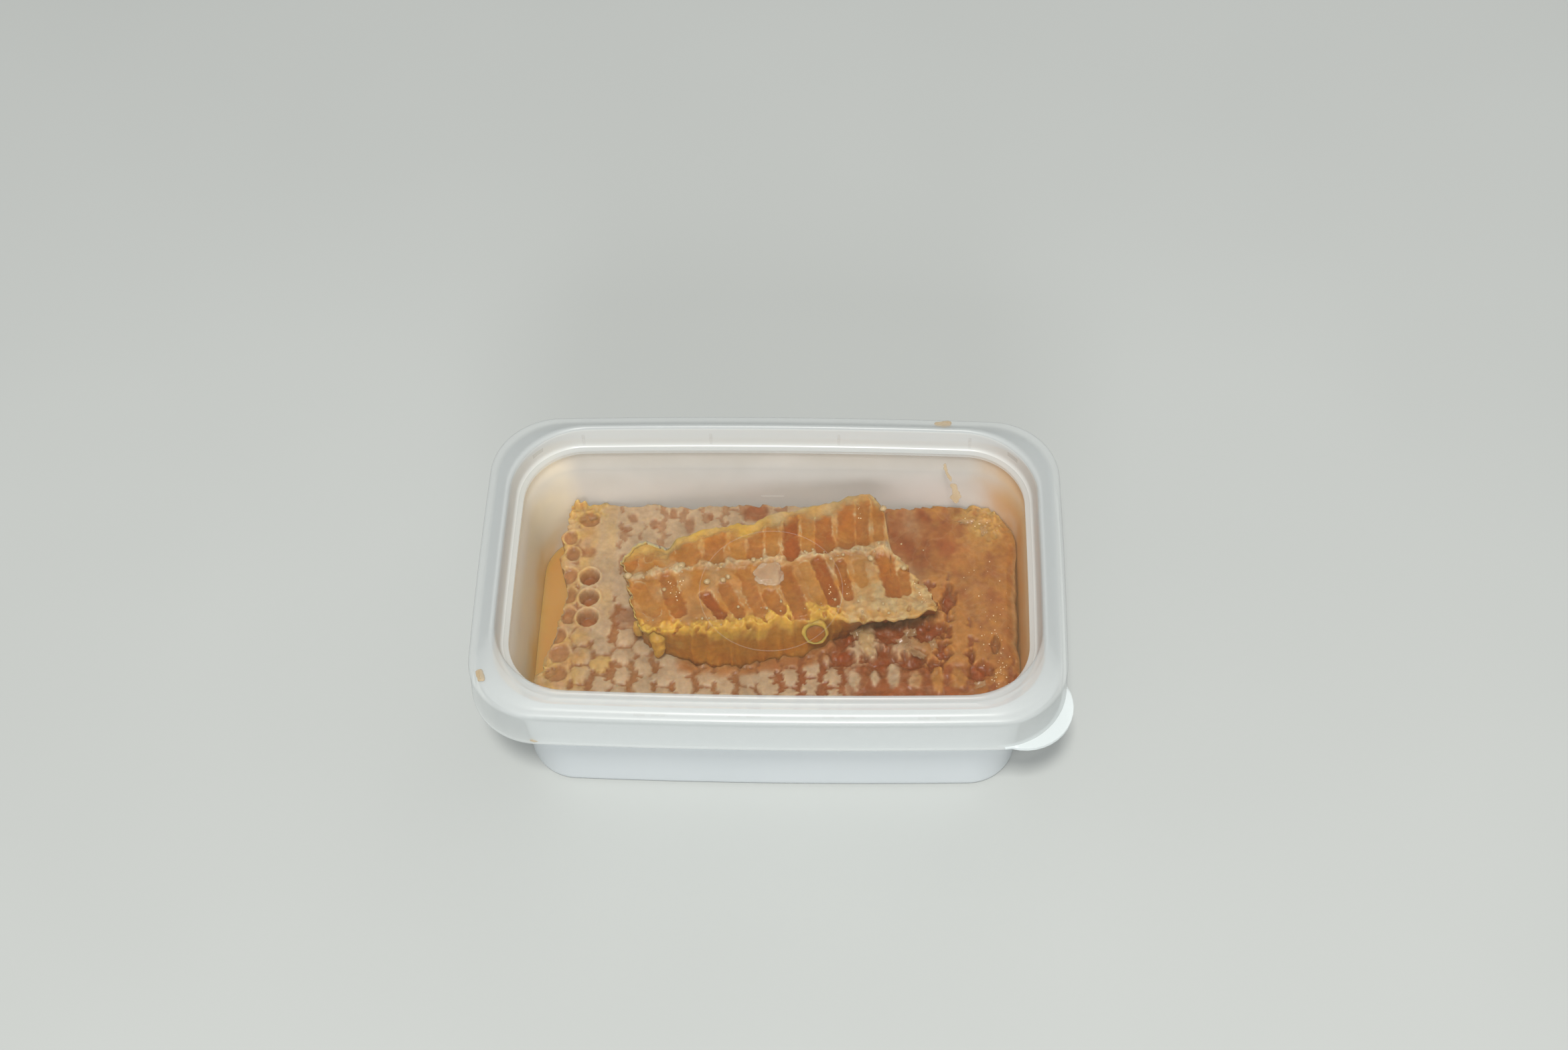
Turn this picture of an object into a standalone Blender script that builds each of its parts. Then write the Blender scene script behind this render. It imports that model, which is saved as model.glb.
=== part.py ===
"""Shut plastic food tub with a see-through snap lid, holding cut honeycomb in its honey.

The frame stands on the tub's base: the origin is the middle of the underside, X runs
along the long side, Y across and Z up. All sizes below are in millimetres.
"""
import math

import bmesh
import bpy
from mathutils import Vector

MM = 0.001
GAP = 0.3                       # room left between pieces that touch

# Plan of the lid: four slightly bowed sides joined by round corners
LID_HALF_LENGTH = 68.5
LID_HALF_WIDTH = 43.2
LID_CORNER = 16.3
LONG_SIDE_RADIUS = 1570.0       # bow of the long sides
SHORT_SIDE_RADIUS = 1420.0      # bow of the short sides
SIDE_STEPS = 2                  # straight pieces per half side
CORNER_STEPS = 7                # straight pieces per corner

# Heights of the lid
SHOULDER_Z = 46.0               # where the skirt turns into the ledge
SKIRT_BOTTOM_Z = 35.2
CREST_Z = 49.6                  # top of the ridge round the window
PANEL_Z = 43.7                  # outer face of the sunken window
LID_WALL = 0.9

# Body of the tub
BODY_HALF_LENGTH = 58.6         # at the base, as are the next two
BODY_HALF_WIDTH = 33.1
BODY_CORNER = 11.5
BODY_DRAFT = 0.066              # how far the wall leans out per unit of height
BODY_WALL = 0.8
FLOOR_Z = 1.0
STEP_LOW_Z = 35.5               # the wall steps out to the rim between these two
STEP_HIGH_Z = 38.5
RIM_Z = 44.8

# Pull tab: a half moon at the foot of the skirt, round one corner
TAB_CENTRE = (58.6, -31.4)
TAB_RADIUS = 11.4
TAB_THICKNESS = 0.9

# Contents
HONEY_LEVEL = 10.0
CELL_COLUMN = 4.85              # spacing of the cell columns along X
CELL_ROW = 5.1                  # spacing of the cells within a column
SLAB_BOTTOM_Z = 3.2
SLAB_WAX_Z = 24.2               # rims of the cells
SLAB_CAP_RISE = 0.8             # a capped cell stands above its rim
OPEN_CELL_DEPTH = 3.0
SLAB_LEFT_X = -51.9
SLAB_SPREAD_X = -56.8           # the slab reaches this far left in front of the next
SLAB_SPREAD_Y = -13.0
SLAB_BACK_Y = 33.2
SLAB_FRONT_Y = -33.2

PIECE_LEFT = (-35.0, 3.4)       # ends of the midrib of the upper piece of comb
PIECE_RIGHT = (35.5, 13.6)
PIECE_BOTTOM_Z = 25.4
PIECE_TOP_Z = 37.2
CHANNEL_PITCH = 4.1             # spacing of the cells laid open along the piece
CHANNEL_DEPTH = 1.7
CHANNEL_SLANT = 0.3             # how far the cells in front of the midrib lean to the right


def clear_scene():
    for item in list(bpy.data.objects):
        bpy.data.objects.remove(item, do_unlink=True)


def linear(hex_colour):
    """Turn an sRGB hex colour into linear RGBA."""
    values = []
    for start in (0, 2, 4):
        value = int(hex_colour[start:start + 2], 16) / 255.0
        values.append(value / 12.92 if value <= 0.04045 else ((value + 0.055) / 1.055) ** 2.4)
    return (*values, 1.0)


def make_material(name, hex_colour, roughness, metallic=0.0):
    material = bpy.data.materials.new(name)
    material.use_nodes = True
    shader = material.node_tree.nodes["Principled BSDF"]
    shader.inputs["Base Color"].default_value = linear(hex_colour)
    shader.inputs["Roughness"].default_value = roughness
    shader.inputs["Metallic"].default_value = metallic
    return material


def add_object(name, bm, material, smooth_angle=None):
    """Turn a mesh in millimetres into a named object in metres."""
    bmesh.ops.recalc_face_normals(bm, faces=bm.faces)
    bmesh.ops.scale(bm, vec=(MM, MM, MM), verts=bm.verts)
    mesh = bpy.data.meshes.new(name)
    bm.to_mesh(mesh)
    bm.free()
    mesh.materials.append(material)
    if smooth_angle is not None:
        mesh.shade_smooth()
        mesh.set_sharp_from_angle(angle=math.radians(smooth_angle))
    item = bpy.data.objects.new(name, mesh)
    bpy.context.scene.collection.objects.link(item)
    return item


# ---------------------------------------------------------------- plan outlines

def corner_centre(half_length, half_width, corner):
    """Centre of the arc that touches the long side's arc and the short side's arc."""
    long_centre = Vector((0.0, half_width - LONG_SIDE_RADIUS))
    short_centre = Vector((half_length - SHORT_SIDE_RADIUS, 0.0))
    to_long = LONG_SIDE_RADIUS - corner
    to_short = SHORT_SIDE_RADIUS - corner
    apart = short_centre - long_centre
    along = (to_long ** 2 - to_short ** 2 + apart.length_squared) / (2.0 * apart.length)
    across = math.sqrt(to_long ** 2 - along ** 2)
    direction = apart.normalized()
    side = Vector((-direction.y, direction.x))
    candidates = [long_centre + direction * along + side * across * sign for sign in (1, -1)]
    return max(candidates, key=lambda point: point.x), long_centre, short_centre


def arc(centre, radius, start, end, steps):
    """Points of an arc, without its last one."""
    points = []
    for step in range(steps):
        angle = start + (end - start) * step / steps
        points.append(centre + radius * Vector((math.cos(angle), math.sin(angle))))
    return points


def outline(half_length, half_width, corner):
    """Bowed rounded rectangle, anticlockwise from the middle of the right side."""
    centre, long_centre, short_centre = corner_centre(half_length, half_width, corner)
    short_end = math.atan2(*(centre - short_centre).yx)
    long_end = math.atan2(*(centre - long_centre).yx)
    quarter = arc(short_centre, SHORT_SIDE_RADIUS, 0.0, short_end, SIDE_STEPS)
    quarter += arc(centre, corner, short_end, long_end, CORNER_STEPS)
    quarter += arc(long_centre, LONG_SIDE_RADIUS, long_end, math.pi / 2, SIDE_STEPS)
    top = Vector((0.0, half_width))
    right_half = [Vector((p.x, -p.y)) for p in reversed(quarter[1:])] + quarter + [top]
    left_half = [Vector((-p.x, p.y)) for p in reversed(right_half[:-1])]
    bottom = Vector((0.0, -half_width))
    return [bottom] + right_half + left_half


def lid_ring(inset, z, corner):
    """Outline that lies a given distance inside the lid's edge, at one height."""
    points = outline(LID_HALF_LENGTH - inset, LID_HALF_WIDTH - inset, corner)
    return [Vector((p.x, p.y, z)) for p in points]


def body_ring(inset, z):
    """Outline of the tub's leaning body at one height."""
    lean = BODY_DRAFT * z - inset
    points = outline(BODY_HALF_LENGTH + lean, BODY_HALF_WIDTH + lean, BODY_CORNER + lean)
    return [Vector((p.x, p.y, z)) for p in points]


def loft(rings):
    """Closed body through a run of rings: one face is extruded from ring to ring."""
    bm = bmesh.new()
    place = bm.verts.layers.int.new("place")
    corners = []
    for index, point in enumerate(rings[0]):
        vert = bm.verts.new(point)
        vert[place] = index
        corners.append(vert)
    face = bm.faces.new(corners)
    for step, ring in enumerate(rings[1:]):
        grown = bmesh.ops.extrude_face_region(bm, geom=[face])
        if step > 0:
            bm.faces.remove(face)   # the first face stays as the base, the others are inside
        face = next(part for part in grown["geom"] if isinstance(part, bmesh.types.BMFace))
        for vert in face.verts:
            vert.co = ring[vert[place]]
    return bm


# ---------------------------------------------------------------- the pack

def make_tub():
    """White tub: foot, leaning wall, step, flat rim with a turned-down lip, and the inside."""
    under_step = body_ring(0.0, STEP_LOW_Z)
    rings = [
        body_ring(1.4, 0.0),
        body_ring(0.4, 0.4),
        body_ring(0.0, 1.5),
        under_step,
        lid_ring(4.3, STEP_HIGH_Z, 15.4),
        lid_ring(4.2, RIM_Z - 0.9, 15.4),
        lid_ring(2.3, RIM_Z - 0.9, 14.4),
        lid_ring(2.3, RIM_Z - 3.0, 14.4),
        lid_ring(1.5, RIM_Z - 3.0, 15.0),
        lid_ring(1.5, RIM_Z - 0.4, 15.0),
        lid_ring(1.9, RIM_Z, 14.8),
        lid_ring(4.7, RIM_Z, 15.8),
        lid_ring(5.1, RIM_Z - 0.4, 16.0),
        lid_ring(5.2, STEP_HIGH_Z, 16.0),
        body_ring(BODY_WALL, STEP_LOW_Z),
        body_ring(BODY_WALL, FLOOR_Z + 1.4),
        body_ring(BODY_WALL + 1.0, FLOOR_Z),
    ]
    material = make_material("white_polypropylene", "E4E8E6", 0.4)
    return add_object("tub", loft(rings), material, smooth_angle=40)


def tab_ring(inset, z, corner):
    """Lid outline whose points near the tab's corner are moved out to the tab's edge."""
    centre, _, _ = corner_centre(LID_HALF_LENGTH, LID_HALF_WIDTH, LID_CORNER)
    pivot = Vector((centre.x, -centre.y))
    middle = Vector(TAB_CENTRE)
    ring = lid_ring(inset, z, corner)
    for point in ring:
        flat = Vector((point.x, point.y))
        if (flat - middle).length >= TAB_RADIUS:
            continue
        direction = (flat - pivot).normalized()
        offset = pivot - middle
        lean = offset.dot(direction)
        reach = -lean + math.sqrt(lean ** 2 - offset.length_squared + TAB_RADIUS ** 2)
        moved = pivot + direction * reach
        point.x = moved.x
        point.y = moved.y
    return ring


def make_lid():
    """Snap lid: sunken window, ridge, ledge, skirt with a pull tab, and the same from below."""
    under_panel = PANEL_Z - LID_WALL
    rings = [
        lid_ring(7.4, PANEL_Z, 15.4),
        lid_ring(6.8, PANEL_Z + 0.5, 15.8),
        lid_ring(5.9, CREST_Z - 0.6, 18.2),
        lid_ring(5.4, CREST_Z, 18.4),
        lid_ring(4.8, CREST_Z - 0.2, 18.2),
        lid_ring(2.4, SHOULDER_Z + 1.0, 16.0),
        lid_ring(0.7, SHOULDER_Z + 0.5, 15.9),
        lid_ring(0.0, SHOULDER_Z - 0.4, LID_CORNER),
        lid_ring(-0.3, SKIRT_BOTTOM_Z + TAB_THICKNESS + 0.2, LID_CORNER + 0.3),
        tab_ring(-0.4, SKIRT_BOTTOM_Z + TAB_THICKNESS, LID_CORNER + 0.4),
        tab_ring(-0.4, SKIRT_BOTTOM_Z, LID_CORNER + 0.4),
        lid_ring(LID_WALL - 0.4, SKIRT_BOTTOM_Z, LID_CORNER - 0.5),
        lid_ring(LID_WALL, SHOULDER_Z - 0.7, LID_CORNER - 0.9),
        lid_ring(2.5, SHOULDER_Z + 0.1, 15.4),
        lid_ring(4.3, SHOULDER_Z + 1.8, 17.6),
        lid_ring(5.0, SHOULDER_Z + 1.5, 17.8),
        lid_ring(5.9, under_panel + 0.6, 16.6),
        lid_ring(6.7, under_panel, 16.0),
    ]
    material = make_material("clear_polypropylene", "E9ECEA", 0.3)
    material.node_tree.nodes["Principled BSDF"].inputs["Alpha"].default_value = 0.35
    return add_object("lid", loft(rings), material, smooth_angle=40)


# ---------------------------------------------------------------- the contents

def slab_left_x(y):
    """Left side of the slab: cut straight, then spread to the wall at the front."""
    return SLAB_LEFT_X if y > SLAB_SPREAD_Y else SLAB_SPREAD_X


def slab_right_x(y):
    """Right side of the slab: a bevelled back corner, then along the tub's wall."""
    return min(58.3, 55.3 + 0.3 * (SLAB_BACK_Y - y))


def inside_tub(x, y, z, room):
    """Whether a point lies inside the tub's wall with some room to spare."""
    lean = BODY_DRAFT * z - BODY_WALL - room
    half_length = BODY_HALF_LENGTH + lean
    half_width = BODY_HALF_WIDTH + lean
    corner = BODY_CORNER + lean
    past_x = abs(x) + y ** 2 / (2.0 * SHORT_SIDE_RADIUS) - (half_length - corner)
    past_y = abs(y) + x ** 2 / (2.0 * LONG_SIDE_RADIUS) - (half_width - corner)
    if past_x <= 0.0 or past_y <= 0.0:
        return past_x <= corner and past_y <= corner
    return math.hypot(past_x, past_y) <= corner


def cell_corners(column, row):
    """Corners of one six-sided cell, with its flat sides across the column."""
    centre_x = column * CELL_COLUMN
    centre_y = (row + 0.5 * (column % 2)) * CELL_ROW
    half = CELL_ROW / 2.0
    tip = CELL_COLUMN / 1.5
    shape = ((tip, 0.0), (tip / 2, half), (-tip / 2, half), (-tip, 0.0), (-tip / 2, -half), (tip / 2, -half))
    return [(centre_x + dx, centre_y + dy) for dx, dy in shape]


def cell_is_open(column, row):
    """Cells without a cap: a few in the left-hand columns and the torn patch at the front."""
    if column == -9:
        return row in (0, 2, 3)
    in_torn_patch = 3 <= column <= 7 and -5 <= row <= -2
    return in_torn_patch and (column + 2 * row) % 3 != 0


def make_comb_slab():
    """Slab of comb lying flat, its cells capped with wax apart from a few open ones."""
    bm = bmesh.new()
    corners = {}
    open_faces = []
    capped_faces = []
    for column in range(-12, 13):
        for row in range(-8, 8):
            ring = cell_corners(column, row)
            fits = all(
                inside_tub(x, y, SLAB_WAX_Z, GAP)
                and slab_left_x(y) <= x <= slab_right_x(y)
                and SLAB_FRONT_Y <= y <= SLAB_BACK_Y
                for x, y in ring
            )
            if not fits:
                continue
            verts = []
            for x, y in ring:
                key = (round(3.0 * x / CELL_COLUMN), round(2.0 * y / CELL_ROW))
                if key not in corners:
                    corners[key] = bm.verts.new((x, y, SLAB_WAX_Z))
                verts.append(corners[key])
            face = bm.faces.new(verts)
            (open_faces if cell_is_open(column, row) else capped_faces).append(face)

    # The zigzag sides run down to the base and lean in with the tub's wall
    rim = [edge for edge in bm.edges if edge.is_boundary]
    walls = bmesh.ops.extrude_edge_only(bm, edges=rim)
    lower = [part for part in walls["geom"] if isinstance(part, bmesh.types.BMVert)]
    lean = BODY_DRAFT * (SLAB_WAX_Z - SLAB_BOTTOM_Z)
    for vert in lower:
        vert.co.x -= lean * vert.co.x / BODY_HALF_LENGTH
        vert.co.y -= lean * vert.co.y / BODY_HALF_WIDTH
        vert.co.z = SLAB_BOTTOM_Z
    base_edges = [part for part in walls["geom"] if isinstance(part, bmesh.types.BMEdge)]
    base_edges = [edge for edge in base_edges if edge.is_boundary]
    bmesh.ops.contextual_create(bm, geom=base_edges)

    # Caps stand up as low plateaus, and open cells go down to their honey
    bmesh.ops.inset_individual(bm, faces=capped_faces, thickness=0.75)
    bmesh.ops.inset_individual(bm, faces=open_faces, thickness=0.35)
    for face in capped_faces:
        bmesh.ops.translate(bm, vec=(0.0, 0.0, SLAB_CAP_RISE), verts=face.verts)
    for face in open_faces:
        bmesh.ops.translate(bm, vec=(0.0, 0.0, -OPEN_CELL_DEPTH), verts=face.verts)
    material = make_material("capped_comb", "C9A672", 0.55)
    return add_object("comb_slab", bm, material)


def piece_back_depth(along):
    """How far the upper piece reaches behind its midrib at a distance along it."""
    if along < 9.0:
        return 7.5 + 0.25 * along
    if along > 63.0:
        return 2.5
    return 10.0 + 0.155 * (along - 9.0) + 0.9 * math.sin(along * 0.7)


def piece_front_depth(along):
    """How far it reaches in front of the midrib: rounded at the left, straight to the right."""
    rounded = 13.5 + 5.5 * min(1.0, along / 14.0)
    return rounded + 0.7 * math.sin(along * 0.55 + 1.0)


def make_comb_top():
    """Strip of comb on its side: cells laid open on both sides of a raised midrib."""
    start = Vector(PIECE_LEFT)
    direction = (Vector(PIECE_RIGHT) - start).normalized()
    across = Vector((-direction.y, direction.x))
    length = (Vector(PIECE_RIGHT) - start).length
    stations = round(length / CHANNEL_PITCH) * 2
    rings = []
    for station in range(stations + 1):
        along = length * station / stations
        groove = CHANNEL_DEPTH if station % 2 else 0.0
        back = piece_back_depth(along)
        front = piece_front_depth(along)
        section = [
            (back * 0.96, PIECE_BOTTOM_Z),
            (back, PIECE_TOP_Z - 1.6),
            (back * 0.86, PIECE_TOP_Z - 0.3 - groove * 0.7),
            (2.4, PIECE_TOP_Z - 0.6 - groove),
            (0.0, PIECE_TOP_Z),
            (-2.4, PIECE_TOP_Z - 0.4 - groove),
            (-front * 0.84, PIECE_TOP_Z - 0.4 - groove),
            (-front, PIECE_TOP_Z - 0.5),
            (-front - 0.6, PIECE_TOP_Z - 3.0),
            (-front + 0.4, PIECE_BOTTOM_Z),
        ]
        # the lean fades out towards the ends, which are cut square
        lean = CHANNEL_SLANT * min(1.0, along / 8.0, (length - along) / 18.0)
        ring = []
        for side, z in section:
            flat = start + direction * (along - lean * min(side, 0.0)) + across * side
            ring.append(Vector((flat.x, flat.y, z)))
        rings.append(ring)
    material = make_material("cut_comb", "B87A35", 0.4)
    return add_object("comb_top", loft(rings), material)


def make_honey():
    """Honey in the tub: a thin layer under the slab and a pool along its left side."""
    bm = loft([body_ring(BODY_WALL + GAP + 1.0, FLOOR_Z + GAP),
               body_ring(BODY_WALL + GAP, FLOOR_Z + 1.6),
               body_ring(BODY_WALL + GAP, HONEY_LEVEL)])
    pool = add_object("honey", bm, make_material("honey", "C2771A", 0.12))

    # The slab's bed is cut out of the pool, following the slab's left side
    plan = [
        (SLAB_LEFT_X - GAP, LID_HALF_WIDTH),
        (SLAB_LEFT_X - GAP, SLAB_SPREAD_Y + 1.5),
        (SLAB_SPREAD_X - GAP, SLAB_SPREAD_Y - 1.5),
        (SLAB_SPREAD_X - GAP, -LID_HALF_WIDTH),
        (LID_HALF_LENGTH, -LID_HALF_WIDTH),
        (LID_HALF_LENGTH, LID_HALF_WIDTH),
    ]
    bed = loft([[Vector((x, y, z)) for x, y in plan] for z in (SLAB_BOTTOM_Z - GAP, HONEY_LEVEL + 5.0)])
    cutter = add_object("honey_bed_cutter", bed, pool.data.materials[0])
    cutter.hide_render = True
    cutter.display_type = "WIRE"
    cut = pool.modifiers.new("slab_bed", "BOOLEAN")
    cut.operation = "DIFFERENCE"
    cut.object = cutter
    return pool


def main():
    clear_scene()
    make_tub()
    make_lid()
    make_honey()
    make_comb_slab()
    make_comb_top()


main()
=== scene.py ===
# %% [markdown]
# # A shut tub of cut comb in honey
#
# The object is a low plastic food tub with a milky snap lid. Inside it a slab of capped
# honeycomb stands in a little loose honey, and a second strip of comb lies on its side on
# top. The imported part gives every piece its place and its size, so the pieces made here are
# finer versions of the same shapes, built in the same frame.

import math
import random
from types import SimpleNamespace

import bmesh
import bpy
from mathutils import Matrix, Vector, noise


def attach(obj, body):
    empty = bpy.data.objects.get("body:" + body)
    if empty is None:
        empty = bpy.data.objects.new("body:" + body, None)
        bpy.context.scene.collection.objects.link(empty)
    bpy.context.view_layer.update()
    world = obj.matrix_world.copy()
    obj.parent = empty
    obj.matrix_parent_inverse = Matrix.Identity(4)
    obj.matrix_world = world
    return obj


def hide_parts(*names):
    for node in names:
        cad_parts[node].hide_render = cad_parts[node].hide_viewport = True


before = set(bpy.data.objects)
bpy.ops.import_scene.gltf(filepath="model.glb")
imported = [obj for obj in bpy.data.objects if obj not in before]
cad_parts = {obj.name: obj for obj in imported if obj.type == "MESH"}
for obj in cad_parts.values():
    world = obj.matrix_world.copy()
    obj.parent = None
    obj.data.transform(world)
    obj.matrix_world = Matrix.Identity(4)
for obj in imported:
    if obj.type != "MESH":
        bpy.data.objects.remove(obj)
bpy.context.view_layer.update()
MM = 0.001
print("nodes:", sorted(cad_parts))

# %% [markdown]
# ## Helpers
#
# Colours are written as sRGB hex, the way a paint or a plastic is specified, and one
# function turns them into the linear values that shaders need. One more function adds a
# shader node with its settings and links in a single call. `coats` then lays colours over
# each other like paint, and `mottled_material` makes the plainest kind of material here: a
# base colour that wanders between two near tones, because no real surface is one flat colour.

# %% Colours and shader nodes
PLASTIC_IOR = 1.49
HONEY_IOR = 1.49
WAX_IOR = 1.44
# A Mix node has a set of sockets for each kind of data. These are the ones for colours.
MIX_SHARE, MIX_BASE, MIX_COAT, MIX_RESULT = 0, 6, 7, 2


def linear(hex_colour):
    """Turn an sRGB hex colour into linear RGBA."""
    values = [int(hex_colour[start:start + 2], 16) / 255.0 for start in (0, 2, 4)]
    return (*(v / 12.92 if v <= 0.04045 else ((v + 0.055) / 1.055) ** 2.4 for v in values), 1.0)


def set_inputs(material, node, values):
    """Set a node's inputs, each to a number, a hex colour or an output of another node."""
    for key, value in values.items():
        if isinstance(value, bpy.types.NodeSocket):
            material.node_tree.links.new(value, node.inputs[key])
        else:
            node.inputs[key].default_value = linear(value) if isinstance(value, str) else value


def add_node(material, kind, inputs, output=0, **settings):
    """Add a node with its settings and links, and return one of its outputs."""
    node = material.node_tree.nodes.new("ShaderNode" + kind)
    for name, value in settings.items():
        setattr(node, name, value)
    set_inputs(material, node, inputs)
    return node.outputs[output]


def coats(material, base, *layers):
    """Lay colours over a base colour, each with the share of the surface that it covers."""
    for cover, colour in layers:
        base = add_node(material, "Mix", {MIX_SHARE: cover, MIX_BASE: base, MIX_COAT: colour}, MIX_RESULT,
                        data_type="RGBA")
    return base


def speckle(material, size_mm, detail=2.0, distortion=0.0):
    """Noise in the object's own space, with spots about as wide as the given size."""
    place = add_node(material, "TexCoord", {}, "Object")
    return add_node(material, "TexNoise",
                    {"Vector": place, "Scale": 0.5 / (size_mm * MM), "Detail": detail,
                     "Distortion": distortion}, "Fac")


def start_material(name):
    """A new material and its Principled shader."""
    material = bpy.data.materials.new(name)
    material.use_nodes = True
    print("material:", name)
    return material, material.node_tree.nodes["Principled BSDF"]


def mottled_material(name, spots_mm, first, second, values):
    """A material whose base colour wanders between two hex colours in spots of one size."""
    material, shader = start_material(name)
    tone = coats(material, first, (speckle(material, spots_mm), second))
    set_inputs(material, shader, {"Base Color": tone, **values})
    return material


def scatter(weight, red_mm, green_mm, blue_mm):
    """How much light enters a milky material, and how far each colour of it travels inside."""
    return {"Subsurface Weight": weight, "Subsurface Radius": (red_mm * MM, green_mm * MM, blue_mm * MM),
            "Subsurface Scale": 1.0}


print("a mid grey is", [round(v, 3) for v in linear("808080")[:3]])

# %% [markdown]
# A finished piece is a mesh in millimetres that is scaled to metres, shaded smooth, given its
# materials and put on the part's one body. `rough_noise` gives wax its unevenness: it is a
# smooth random value between -1 and 1 that always comes out the same for the same place.
# `rough` adds a few of them up, each with its strength, its seed and the width of its bumps.

# %% Meshes
def add_object(name, bm, materials):
    """Turn a mesh into an object of the scene."""
    mesh = bpy.data.meshes.new(name)
    bm.to_mesh(mesh)
    bm.free()
    for material in materials:
        mesh.materials.append(material)
    made = bpy.data.objects.new(name, mesh)
    bpy.context.scene.collection.objects.link(made)
    return made


def finish_piece(name, bm, materials, stands_for=None, sharp_angle=180):
    """Turn a mesh in millimetres into a piece that rides on the part."""
    bmesh.ops.scale(bm, vec=(MM, MM, MM), verts=bm.verts)
    piece = add_object(name, bm, materials)
    piece.data.shade_smooth()
    piece.data.set_sharp_from_angle(angle=math.radians(sharp_angle))
    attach(piece, "root")
    if stands_for:
        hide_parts(stands_for)
    triangles = sum(len(face.vertices) - 2 for face in piece.data.polygons)
    print(f"{name}: {triangles} triangles")


def edges_of(verts):
    """The edges of some vertices, each once and in a fixed order."""
    return list(dict.fromkeys(edge for vert in verts for edge in vert.link_edges))


def clamp(value):
    """Keep a value between 0 and 1."""
    return min(1.0, max(0.0, value))


def smoothstep(low, high, value):
    """0 below low, 1 above high, and a smooth rise between them."""
    share = clamp((value - low) / (high - low))
    return share * share * (3.0 - 2.0 * share)


def between(points, x):
    """Value at x of a line through a few (x, value) points."""
    for (x0, v0), (x1, v1) in zip(points, points[1:]):
        if x <= x1:
            return v0 + (v1 - v0) * max(0.0, (x - x0) / (x1 - x0))
    return points[-1][1]


def rough_noise(x, y, z, size):
    """Smooth random value from -1 to 1, with bumps about as wide as size."""
    return noise.noise(Vector((x, y, z)) / size)


def rough(x, y, *layers):
    """Several noises added up: each layer is its strength, its seed and its bump width in mm."""
    return sum(strength * rough_noise(x, y, seed, size) for strength, seed, size in layers)


# %% [markdown]
# ## Camera, light and floor
#
# The tub is seen from a standing height, at 55 degrees down, through a long lens. One small
# soft lamp hangs high on the viewer's side, so that the lid throws a short soft shadow under
# itself. Two wide, weaker ones stand low in front and behind and light the tub's walls. They
# aren't mirrored in gloss, where they would show as white squares. A pale room gives the rest.

# %% Camera
PITCH = math.radians(55.0)
YAW = math.radians(-3.35)
ROLL = math.radians(-2.18)
CAMERA_PLACE_MM = Vector((22.03, -316.85, 515.45))
LENS_MM = 55.71
forward = Vector((math.sin(YAW) * math.cos(PITCH), math.cos(YAW) * math.cos(PITCH), -math.sin(PITCH)))
level_right = Vector((math.cos(YAW), -math.sin(YAW), 0.0))
level_up = level_right.cross(forward)
right = level_right * math.cos(ROLL) + level_up * math.sin(ROLL)
up = level_up * math.cos(ROLL) - level_right * math.sin(ROLL)
camera_data = bpy.data.cameras.new("camera")
camera_data.lens = LENS_MM
camera_data.sensor_width = 36.0
camera_data.clip_start = 0.01
camera = bpy.data.objects.new("camera", camera_data)
bpy.context.scene.collection.objects.link(camera)
turn = Matrix((right, up, -forward)).transposed().to_4x4()
camera.matrix_world = Matrix.Translation(CAMERA_PLACE_MM * MM) @ turn
bpy.context.scene.camera = camera
bpy.context.scene.view_settings.view_transform = "Standard"
print("camera at", [round(v, 3) for v in camera.location])

# %% Lights
world = bpy.data.worlds.new("pale_room")
bpy.context.scene.world = world
world.use_nodes = True
background = world.node_tree.nodes["Background"]
background.inputs["Color"].default_value = linear("EEF1F2")
background.inputs["Strength"].default_value = 0.43


def add_lamp(name, place, size, watts, colour, mirrored):
    """A square soft lamp at a place in metres, turned towards the pack."""
    data = bpy.data.lights.new(name, "AREA")
    data.shape = "SQUARE"
    data.size = size
    data.energy = watts
    data.color = linear(colour)[:3]
    lamp = bpy.data.objects.new(name, data)
    bpy.context.scene.collection.objects.link(lamp)
    lamp.location = place
    lamp.rotation_euler = (-Vector(place)).to_track_quat("-Z", "Y").to_euler()
    lamp.visible_camera = False
    lamp.visible_glossy = mirrored


add_lamp("overhead_lamp", (0.0, -0.53, 1.2), 0.14, 14.4, "FFFDF8", mirrored=True)
add_lamp("front_fill", (0.0, -1.2, 0.5), 0.5, 6.3, "FBFDFF", mirrored=False)
add_lamp("back_fill", (0.3, 1.2, 0.6), 0.8, 2.4, "FFFDFA", mirrored=False)

# %% Floor: pale laminate with a soft shine
laminate = mottled_material("pale_laminate", 60.0, "B3B6B4", "B9BCBA",
                            {"Roughness": 0.35, "Specular IOR Level": 0.3})
floor_mesh = bmesh.new()
bmesh.ops.create_grid(floor_mesh, x_segments=2, y_segments=2, size=1.6)
floor = add_object("floor", floor_mesh, [laminate])

# %% [markdown]
# ## Outline of the pack
#
# Injection-moulded tubs are rarely true rectangles. The sides bow outwards a little, so that
# they look straight when the pack is full, and round corners join them. Each side here is an
# arc with a radius of about a metre and a half. The same outline, moved in by some distance,
# gives every ring of the lid and of the tub.

# %% Outline
LID_HALF_LENGTH = 68.5
LID_HALF_WIDTH = 43.2
LID_CORNER = 16.3
LONG_SIDE_RADIUS = 1570.0
SHORT_SIDE_RADIUS = 1420.0
SIDE_STEPS = 6
CORNER_STEPS = 16


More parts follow.
